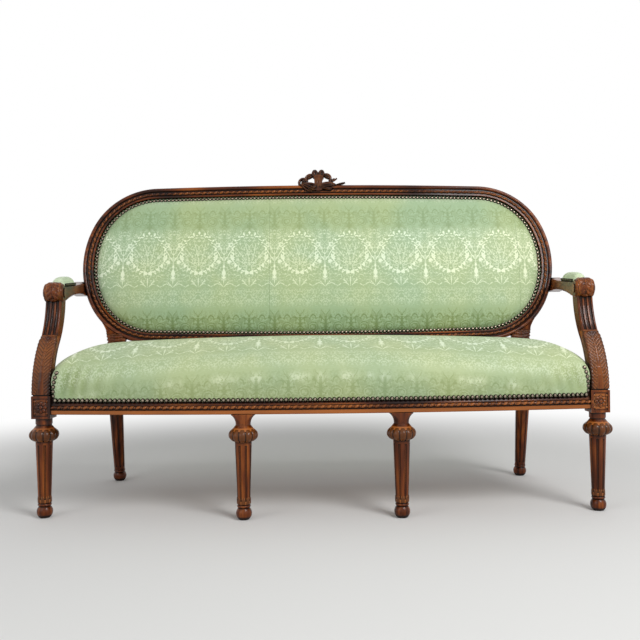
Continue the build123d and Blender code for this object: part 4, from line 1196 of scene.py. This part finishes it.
def joined(name, meshes, material, slot):
    """Several meshes as one piece."""
    work = bmesh.new()
    for mesh in meshes:
        work.from_mesh(mesh)
    mesh = bpy.data.meshes.new(name)
    for face in work.faces:
        face.smooth = True
    work.to_mesh(mesh)
    work.free()
    return stand(name, mesh, material, slot)


def surface_of(mesh):
    """A mesh's surface, to feel for it with rays."""
    return BVHTree.FromPolygons([v.co for v in mesh.vertices], [tuple(f.vertices) for f in mesh.polygons])


def ring_path(inset, ahead):
    """The whole oval at an inset, as points."""
    half = oval_end(0.0, inset)
    loop = half + [(-x, y) for x, y in reversed(half)][1:-1]
    return [on_back(x, y, ahead) for x, y in even(loop + loop[:1], 401)[:-1]]


print("row helpers ready")


# %% A domed nail
def dome(radius, height, around=10):
    """A domed nail head with a short rim below the cloth."""
    points, rubbed = [], []
    levels = ((1.0, -0.25), (1.0, 0.0), (0.90, 0.45), (0.66, 0.78), (0.34, 0.95))
    for wide, high in levels:
        for k in range(around):
            angle = 2 * math.pi * k / around
            points.append((radius * wide * math.cos(angle), radius * wide * math.sin(angle), height * high))
            # Nearness to the crown, where the nail's finish paints a highlight.
            rubbed.append(max(0, high) ** 1.5)
    points.append((0, 0, height))
    rubbed.append(1.0)
    top = len(points) - 1
    faces = ring_faces(around, len(levels))
    faces += [(top - around + k, top - around + (k + 1) % around, top) for k in range(around)]
    faces.append(tuple(reversed(range(around))))
    mesh = mesh_of("nail", points, faces)
    mark_points(mesh, "rubbed", rubbed)
    return mesh


nail = bpy.data.objects.new("nail", dome(0.0064, 0.0046))
small_nail = bpy.data.objects.new("small_nail", dome(0.0043, 0.0030, 8))
print("nail faces:", len(nail.data.polygons))

# %% Nail rows
nail_z, rail_pitch, oval_pitch, rise_pitch = 0.3250, 0.0129, 0.0131, 0.0127
front_inset, rear_inset, rear_ahead, nail_lift = 0.0437, 0.0425, -0.0022, 0.0012
nail_rows = []


def nail_row(path, facing, pitch=rail_pitch, closed=False):
    nail_rows.append(row_of(path, facing, nail, pitch, old_brass, closed))


back_surface, seat_surface = surface_of(back_piece.data), surface_of(seat_piece.data)
path = []
for point in ring_path(front_inset, 0.0195):
    path.append(back_surface.ray_cast(point + back_front * 0.1, -back_front)[0] + back_front * 0.0006)
nail_row(path, [back_front] * len(path), oval_pitch, True)
path = ring_path(rear_inset, rear_ahead)
nail_row(path, [-back_front] * len(path), oval_pitch, True)
front_line = [(x, bow_y(x, cloth_out)) for x in steps(0.730, 90)]
nail_row([Vector((x, y - 0.0014, nail_z)) for x, y in front_line], [bow_facing(x, y) for x, y in front_line])
for side, mark in sides:
    path = []
    for k in range(6):
        before = Vector((mark * (0.7370 - 0.0004 * k * k), -1, 0.337 + 0.0125 * k))
        path.append(seat_surface.ray_cast(before, Vector((0, 1, 0)))[0] + Vector((0, 0.0005, 0)))
    nail_row(path, [Vector((-mark * 0.1, -1, 0.1)).normalized()] * 6, rise_pitch)
    path = [Vector((mark * side_x(y, cloth_out + nail_lift), y, nail_z)) for y in (-0.181, -0.02, 0.147)]
    nail_row(path, [side_facing(mark)] * 3)
path = [Vector((x, rear_y + nail_lift, nail_z)) for x in (-0.644, 0, 0.644)]
nail_row(path, [Vector((0, 1, 0))] * 3)
joined("cover_nails", [mesh for mesh, number in nail_rows], old_brass, "steel")
print("nails:", sum(number for mesh, number in nail_rows))


# %% Carved ribbon
def ribbon_turn(name, long, wide, high, slant):
    """One turn of carved ribbon on its rod, with the bead that follows it."""
    points, faces = [], []
    across, run = 6, 5
    for r in range(run + 1):
        s = r / run * 2 - 1
        for c in range(across + 1):
            t = c / across * 2 - 1
            crown = math.cos(t * math.pi / 2) ** 0.5 if abs(t) < 1 else 0.0
            lift = high * (0.55 + 0.45 * (1 - abs(s) ** 3)) * crown
            points.append((long / 2 * s * 0.72 + slant * t, wide / 2 * t, lift - 0.0004))
    for r in range(run):
        for c in range(across):
            at = r * (across + 1) + c
            faces.append((at, at + across + 1, at + across + 2, at + 1))
    bead = len(points)
    for r in range(6):
        angle = math.pi * r / 5
        for c in range(8):
            turn_c = 2 * math.pi * c / 8
            points.append((
                long * 0.62 + long * 0.13 * math.cos(angle),
                wide * 0.40 * math.sin(angle) * math.cos(turn_c),
                high * 0.85 * math.sin(angle) * math.sin(turn_c),
            ))
    mesh = mesh_of("ribbon_turn", points, faces + ring_faces(8, 6, bead))
    tidy(mesh, 1e-6)
    return bpy.data.objects.new(name, mesh)


rail_turn = ribbon_turn("rail_turn", 0.0150, 0.0104, 0.0072, 0.0032)
oval_turn = ribbon_turn("oval_turn", 0.0165, 0.0118, 0.0076, 0.0036)
ribbon_z, ribbon_out, rail_step, oval_step = 0.305, 0.0165, 0.0185, 0.0205
rail_line = [(x, bow_y(x, ribbon_out)) for x in steps(0.738, 90)]
path, facing = [Vector((x, y, ribbon_z)) for x, y in rail_line], [bow_facing(x, y) for x, y in rail_line]
ribbon_rows = [row_of(path, facing, rail_turn, rail_step, walnut_carved)]
for side, mark in sides:
    path = [Vector((mark * side_x(y, ribbon_out), y, ribbon_z)) for y in (-0.220, -0.03, 0.151)]
    ribbon_rows.append(row_of(path, [side_facing(mark)] * 3, rail_turn, rail_step, walnut_carved))
bow_gap, ribbon_inset, ribbon_ahead = 0.052, 0.0228, 0.0230
half = oval_end(bow_gap, ribbon_inset)
path = [on_back(x, y, ribbon_ahead) for x, y in even(half + [(-x, y) for x, y in reversed(half)], 501)]
ribbon_rows.append(row_of(path, [back_front] * len(path), oval_turn, oval_step, walnut_carved))
joined("carved_ribbon", [mesh for mesh, number in ribbon_rows], walnut_carved, "walnut")
print("turns of ribbon:", sum(number for mesh, number in ribbon_rows))

# %% [markdown]
# ## Carving
# The carver worked leaves, rosettes and lobes into the wood after the frame was joined. Each is made here as
# a skin: a grid laid on the solid's own surface, found with rays, and raised by a small formula for its
# ridges and lobes. Where the formula drops under the surface the skin is buried, so the wood shows between
# the leaves.


# %% A carved skin
def skin_of(name):
    """The surface of a solid piece."""
    return surface_of(solids[name].data)


def felt(skin, start, way, fallback):
    """Where a ray first meets the surface."""
    hit = skin.ray_cast(Vector(start), Vector(way))[0]
    return Vector(fallback) if hit is None else hit


def carved(rows, columns, surface, height, depth, closed=False):
    """A closed skin: surface(s, t) gives a point and its outward way, height(s, t) how far it stands out."""
    front, rear, faces, heights = [], [], [], []
    wide = columns if closed else columns + 1
    for r in range(rows + 1):
        for c in range(wide):
            s, t = r / rows, c / columns * 2 - 1
            point, out = surface(s, t)
            heights.append(height(s, t))
            front.append(point + out * heights[-1])
            rear.append(point - out * depth)
    total = len(front)
    for r in range(rows):
        for c in range(columns):
            right = (c + 1) % wide
            square = (r * wide + c, r * wide + right, (r + 1) * wide + right, (r + 1) * wide + c)
            faces += [square, tuple(total + i for i in reversed(square))]
    low, high = list(range(wide)), [rows * wide + c for c in range(wide)]
    if closed:
        rims = [low + low[:1], high + high[:1]]
    else:
        right = [r * wide + columns for r in range(rows + 1)]
        left = [r * wide for r in range(rows + 1)]
        rims = [low[:-1] + right[:-1] + high[:0:-1] + left[::-1]]
    for rim in rims:
        faces += [(b, a, total + a, total + b) for a, b in zip(rim, rim[1:])]
    mesh = mesh_of("carved", front + rear, faces)
    lowest, relief = min(heights), max(heights) - min(heights)
    # How low each point of the skin lies; the wood finish paints the low parts dark, partly grime and partly
    # painted shade.
    mark_points(mesh, "hollow", [1 - (h - lowest) / relief for h in heights] + [1.0] * total)
    tidy(mesh, 1e-7)
    return mesh


def leaf_height(s, t, cuts, slant, rise):
    """Height of a feathered leaf, s from stem to tip and t from -1 to 1 across: a smooth midrib and cuts."""
    tip = math.sqrt(max(0.0, 1 - max(0, (s - 0.72) / 0.28) ** 2))
    edge = tip * (0.95 + 0.05 * math.cos(2 * math.pi * s * cuts / 2))
    inside = 1 - (abs(t) / max(edge, 0.02)) ** 6
    if inside <= 0:
        return -0.001
    rib_wide = 0.20 * (1 - s) + 0.03
    rib = max(0, 1 - (t / rib_wide) ** 2) ** 0.5
    feather = abs(math.sin(math.pi * (s * cuts - abs(t) * slant))) ** 0.6
    return rise * (0.25 * inside + (0.75 * rib if rib > 0 else 0.62 * feather * inside**0.5))


def wrapped(run, half, round_from, round_over):
    """How far a skin that is run wide from the middle has turned over an edge, and the way it faces there."""
    turned = max(0.0, min(1.0, (abs(run) - half + round_from) / round_over))
    return turned, Vector((math.copysign(turned, run), -(1 - turned), 0)).normalized()


print("carving helpers ready")


# %% Lobes and collars on the legs
def turned_radius(skin, middle):
    """The greatest radius of a turned leg round a point on its axis."""
    best = 0.0
    for k in range(24):
        way = Vector((math.cos(k * math.pi / 12), math.sin(k * math.pi / 12), 0))
        best = max(best, (felt(skin, middle + way * 0.2, -way, middle) - middle).length)
    return best


def around_leg(skin, x, y, low, high, lobes, rise, profile, rows=14):
    """Lobes round a turned leg between two heights; profile(s, u) shapes one, u from -1 to 1 across."""
    radii = [turned_radius(skin, Vector((x, y, low + (high - low) * r / rows))) for r in range(rows + 1)]

    def surface(s, t):
        angle = math.pi * t
        way, radius = Vector((math.cos(angle), math.sin(angle), 0)), radii[round(s * rows)]
        return Vector((x, y, low + (high - low) * s)) + way * radius, way

    def height(s, t):
        u = ((t + 1) / 2 * lobes + 0.5) % 1 * 2 - 1
        return rise * profile(s, u) - 0.0012

    return carved(rows, lobes * 10, surface, height, 0.004, True)


def gadroon(s, u):
    return (1 - u * u) ** 0.85 * math.sin(math.pi * min(1, s * 0.94 + 0.06)) ** 0.45


def tongue(s, u):
    side = 1 - (abs(u) / max(0.05, 1 - s**2.2 * 0.9)) ** 2
    return max(-0.2, side) * (1 - 0.35 * math.exp(-((u / 0.22) ** 2)))


bulb_low, bulb_high, bulb_rise = 0.2135, 0.2475, 0.0034
collar_low, collar_high, collar_rise = 0.0425, 0.0600, 0.0036
leg_meshes = []
for side, mark in sides:
    for name, x, y in (("corner", leg_x, leg_y), ("middle", middle_leg_x, middle_leg_y)):
        skin = skin_of(f"{side}_front_{name}_leg")
        leg_meshes.append(around_leg(skin, mark * x, y, bulb_low, bulb_high, 12, bulb_rise, gadroon))
        leg_meshes.append(around_leg(skin, mark * x, y, collar_low, collar_high, 8, collar_rise, tongue))
joined("leg_carving", leg_meshes, walnut_dark, "walnut")
print("lobed bulbs and collars:", len(leg_meshes))

# %% Rosettes on the leg blocks
panel_half, button, petal_reach, corner_at = 0.0205, 0.0052, 0.0175, 0.0165


def rosette_height(s, t):
    """Eight petals round a button, with a small leaf in each corner of the panel."""
    x, y = t * panel_half, (s * 2 - 1) * panel_half
    reach, angle = math.hypot(x, y), math.atan2(y, x)
    petal = abs(math.cos(4 * angle)) ** 0.6
    edge = petal_reach * (0.72 + 0.28 * petal)
    if reach < button:
        return 0.0028 + 0.0026 * math.sqrt(1 - (reach / button) ** 2)
    if reach < edge:
        swell_out = (1 - (reach / edge) ** 5) * (0.25 + 0.75 * petal)
        return 0.0006 + 0.0040 * swell_out * min(1, (reach - 0.0045) / 0.004)
    corner = math.hypot(abs(x) - corner_at, abs(y) - corner_at)
    return max(-0.001, 0.0026 * (1 - (corner / 0.0045) ** 2))


def rosette(skin, middle, out, across):
    """A rosette on the face of a leg block that looks out."""
    face = felt(skin, middle + out * 0.2, -out, middle + out * 0.024)

    def surface(s, t):
        return face + across * (t * panel_half) + Vector((0, 0, (s * 2 - 1) * panel_half)), out

    return carved(34, 34, surface, rosette_height, 0.002)


rosette_meshes = []
for side, mark in sides:
    skin = skin_of(f"{side}_front_corner_leg")
    middle = Vector((mark * leg_x, leg_y, 0.306))
    rosette_meshes.append(rosette(skin, middle, Vector((0, -1, 0)), Vector((1, 0, 0))))
    rosette_meshes.append(rosette(skin, middle, Vector((mark, 0, 0)), Vector((0, 1, 0))))
joined("block_rosettes", rosette_meshes, walnut_carved, "walnut")
print("rosettes:", len(rosette_meshes))


# %% Leaves on the arm supports and scrolls
def support_leaf(side, mark):
    """An acanthus leaf up the front of an arm support, turned over both edges on to its sides."""
    skin = skin_of(f"{side}_arm_support")
    low, high, half = 0.340, 0.500, 0.0232
    x, fronts = mark * arm_x, []
    for r in range(61):
        fronts.append(felt(skin, (x, -1, low + (high - low) * r / 60), (0, 1, 0), (x, leg_y, 0.4)).y)

    def surface(s, t):
        run = t * 0.046
        z, front = low + (high - low) * s, fronts[round(s * 60)]
        turned, way = wrapped(run, half, 0.004, 0.008)
        across = math.copysign(min(abs(run), half), run)
        return Vector((x + across, front + max(0.0, abs(run) - half) + 0.002 * turned, z)), way

    def height(s, t):
        curl = 0.005 * max(0, (s - 0.80) / 0.20) ** 2 * max(0, 1 - abs(t) * 1.6)
        return leaf_height(s, t, 16, 4.6, 0.0034) + curl

    return carved(112, 64, surface, height, 0.003)


def scroll_leaf(side, mark):
    """A short leaf laid over the scroll at the front of an arm."""
    skin, middle = skin_of(f"{side}_arm"), scroll_middle(mark)
    run = Vector((mark * 0.1125, 0.9937, 0))
    axis = Vector((run.y, -run.x, 0))

    def surface(s, t):
        angle = math.radians(105 - 165 * s)
        way = -run * math.cos(angle) + Vector((0, 0, math.sin(angle)))
        at = middle + axis * (t * 0.0215)
        return felt(skin, at + way * 0.15, -way, at + way * 0.027), way

    return carved(40, 30, surface, lambda s, t: leaf_height(s, t, 6, 1.4, 0.0050), 0.003)


leaf_meshes = []
for side, mark in sides:
    leaf_meshes += [support_leaf(side, mark), scroll_leaf(side, mark)]
joined("arm_leaves", leaf_meshes, walnut_carved, "walnut")
print("leaf faces:", sum(len(m.polygons) for m in leaf_meshes))


# %% Scales on the back posts
def post_scales(side, mark):
    """Rows of scales round the front and sides of a back post, between the seat and the oval."""
    skin = skin_of(f"{side}_rear_leg_and_post")
    low, high, rows, scale = 0.430, 0.512, 56, 0.0105
    x, sections = mark * post_x, []
    for r in range(rows + 1):
        z = low + (high - low) * r / rows
        front = felt(skin, (x, -1, z), (0, 1, 0), (x, post_y, z))
        y = front.y + 0.014
        left = felt(skin, (x - 0.2, y, z), (1, 0, 0), (x - 0.02, y, z)).x
        right = felt(skin, (x + 0.2, y, z), (-1, 0, 0), (x + 0.02, y, z)).x
        sections.append((front.y, left, right, z))

    def surface(s, t):
        front, left, right, z = sections[round(s * rows)]
        half = (right - left) / 2
        run = t * (half + 0.022)
        way = wrapped(run, half, 0.003, 0.006)[1]
        across = (left + right) / 2 + math.copysign(min(abs(run), half), run)
        return Vector((across, front + max(0.0, abs(run) - half), z)), way

    def height(s, t):
        tooth = (s * (high - low) / scale - abs(t) * 0.55) % 1
        ends = min(1, s * 12, (1 - s) * 12, (1 - abs(t)) * 6)
        return (0.0042 * math.sin(math.pi * tooth**0.7) ** 0.6 + 0.0008) * max(0, ends) - 0.0006

    return carved(rows, 24, surface, height, 0.003)


joined("post_scales", [post_scales(side, mark) for side, mark in sides], walnut_carved, "walnut")
print("post scales ready")

# %% Lobes and folds of the bow
oval_top = 0.2875


def bow_leaf(x, y, long, wide, turn_by, high, ahead, pinch=0.25):
    """A folded lobe of ribbon on the crest, middle at (x, y) mm over the oval's top, turned by degrees."""
    angle = math.radians(turn_by)
    along, across = Vector((math.cos(angle), math.sin(angle))), Vector((-math.sin(angle), math.cos(angle)))

    def surface(s, t):
        half = wide / 2 * (math.sin(math.pi * (0.04 + 0.92 * s)) ** 0.4) * (1 - pinch * (1 - s))
        spot = Vector((x, y)) + along * ((s - 0.5) * long) + across * (t * half)
        return on_back(spot.x / 1000, oval_top + spot.y / 1000, ahead), back_front

    def height(s, t):
        dome_here = math.sqrt(max(0, 1 - t * t)) * math.sin(math.pi * (0.06 + 0.88 * s)) ** 0.5
        fold = math.exp(-(((t + 0.15) / 0.20) ** 2)) * 0.45 + math.exp(-(((t - 0.55) / 0.14) ** 2)) * 0.25
        return high / 1000 * dome_here * (1 - fold)

    return carved(14, 14, surface, height, 0.006)


bow_lobes = (
    (-8, 41, 32, 25, 97, 13, 0.024, 0.0),
    (14, 41, 32, 25, 82, 13, 0.024, 0.0),
    (-28, 33, 34, 17, 28, 9, 0.021),
    (-49, 14, 28, 17, 62, 9, 0.021),
    (34, 34, 32, 17, -22, 9, 0.021),
    (50, 16, 30, 11, 40, 6, 0.021),
    (2, 8, 38, 26, 88, 12, 0.026, 0.0),
    (-32, -8, 52, 20, -28, 10, 0.031),
    (-18, -14, 34, 14, 22, 11, 0.033),
    (34, -2, 50, 18, 6, 9, 0.030),
    (26, -14, 44, 12, -16, 8, 0.032),
    (80, 4, 36, 8, 14, 5, 0.025),
)
joined("bow_lobes", [bow_leaf(*lobe) for lobe in bow_lobes], walnut_dark, "walnut")
print("bow lobes:", len(bow_lobes))


# %% Small nails round the arm pads
def pad_nails(mark):
    """Nails along both sides and round the rear of a pad."""
    front, run, axis, rise = arm_frame(mark)
    near, far, half, turn_round = 0.052, 0.212, 0.0205, 0.018
    corners = [(near, -half, 0), (far, -half, turn_round), (far, half, turn_round), (near, half, 0)]
    path, facing = [], []
    line = even(rounded(corners), 80)
    for k, (u, w) in enumerate(line):
        before, after = line[max(0, k - 1)], line[min(79, k + 1)]
        step = Vector((after[0] - before[0], after[1] - before[1])).normalized()
        path.append(front + run * u + axis * w + rise * 0.0222)
        facing.append(run * step.y - axis * step.x)
    return row_of(path, facing, small_nail, 0.0098, old_brass)


pad_rows = [pad_nails(mark) for side, mark in sides]
joined("pad_nails", [mesh for mesh, number in pad_rows], old_brass, "steel")
print("pad nails:", sum(number for mesh, number in pad_rows))

# %% [markdown]
# ## Floor and light
# A pale floor that fades to white, one large soft lamp high on the right and a softer one on the left, and an
# even sky. Together they light the cloth at about the level at which its colour was chosen. The white that
# the camera sees, also in gloss, is told apart from the light that falls on the settee.


# %% Floor and sky
def seen_mask(start):
    """1 for what the camera, gloss or glass sees directly, 0 for light that falls on the settee."""
    kind = start.node("ShaderNodeLightPath", out="Is Camera Ray")
    return kind.fn("MAXIMUM", kind.out("Is Glossy Ray")).fn("MAXIMUM", kind.out("Is Transmission Ray"))


floor_mesh = mesh_of("floor", [(-9, -9, 0), (9, -9, 0), (9, 9, 0), (-9, 9, 0)], [(0, 1, 2, 3)])
floor = in_scene("floor", floor_mesh)
floor_paint, start, shader = finish("floor_paint")
plain(shader, {"Base Color": (0.80, 0.80, 0.79, 1), "Roughness": 0.9})
place = start.node("ShaderNodeTexCoord", out="Object")
far = start.node("ShaderNodeVectorMath", {"operation": "LENGTH"}, {0: place}, "Value")
fade = far.ramp(1.1, 2.6) * seen_mask(start)
white = start.node("ShaderNodeEmission", {}, {"Color": (1, 1, 1, 1), "Strength": 1.0})
paint = Wire(start.tree, shader.outputs[0])
blend = start.node("ShaderNodeMixShader", {}, {0: fade, 1: paint, 2: white})
start.tree.links.new(blend.socket, start.tree.nodes["Material Output"].inputs["Surface"])
dress(floor_mesh, floor_paint)
world = bpy.data.worlds.new("studio")
scene.world = world
world.use_nodes = True
sky = Wire(world.node_tree)
strength = seen_mask(sky) * 0.55 + 0.45
sky_light = sky.node("ShaderNodeBackground", {}, {"Color": (1, 1, 1, 1), "Strength": strength})
sky.tree.links.new(sky_light.socket, sky.tree.nodes["World Output"].inputs["Surface"])
print("floor and sky set")

# %% Lamps
lamps_aim = Vector((0, 0, 0.5))


def lamp(name, place, size, power):
    """A round soft lamp that looks at the middle of the seat."""
    data = bpy.data.lights.new(name, "AREA")
    data.shape, data.size, data.energy = "DISK", size, power
    way = lamps_aim - Vector(place)
    lamp_object = in_scene(name, data)
    lamp_object.matrix_world = Matrix.Translation(place) @ way.to_track_quat("-Z", "Y").to_matrix().to_4x4()


lamp("key_lamp", (1.7, -2.4, 2.7), 1.6, 72)
lamp("fill_lamp", (-2.2, -2.2, 1.6), 2.0, 12)
print("lamps set")
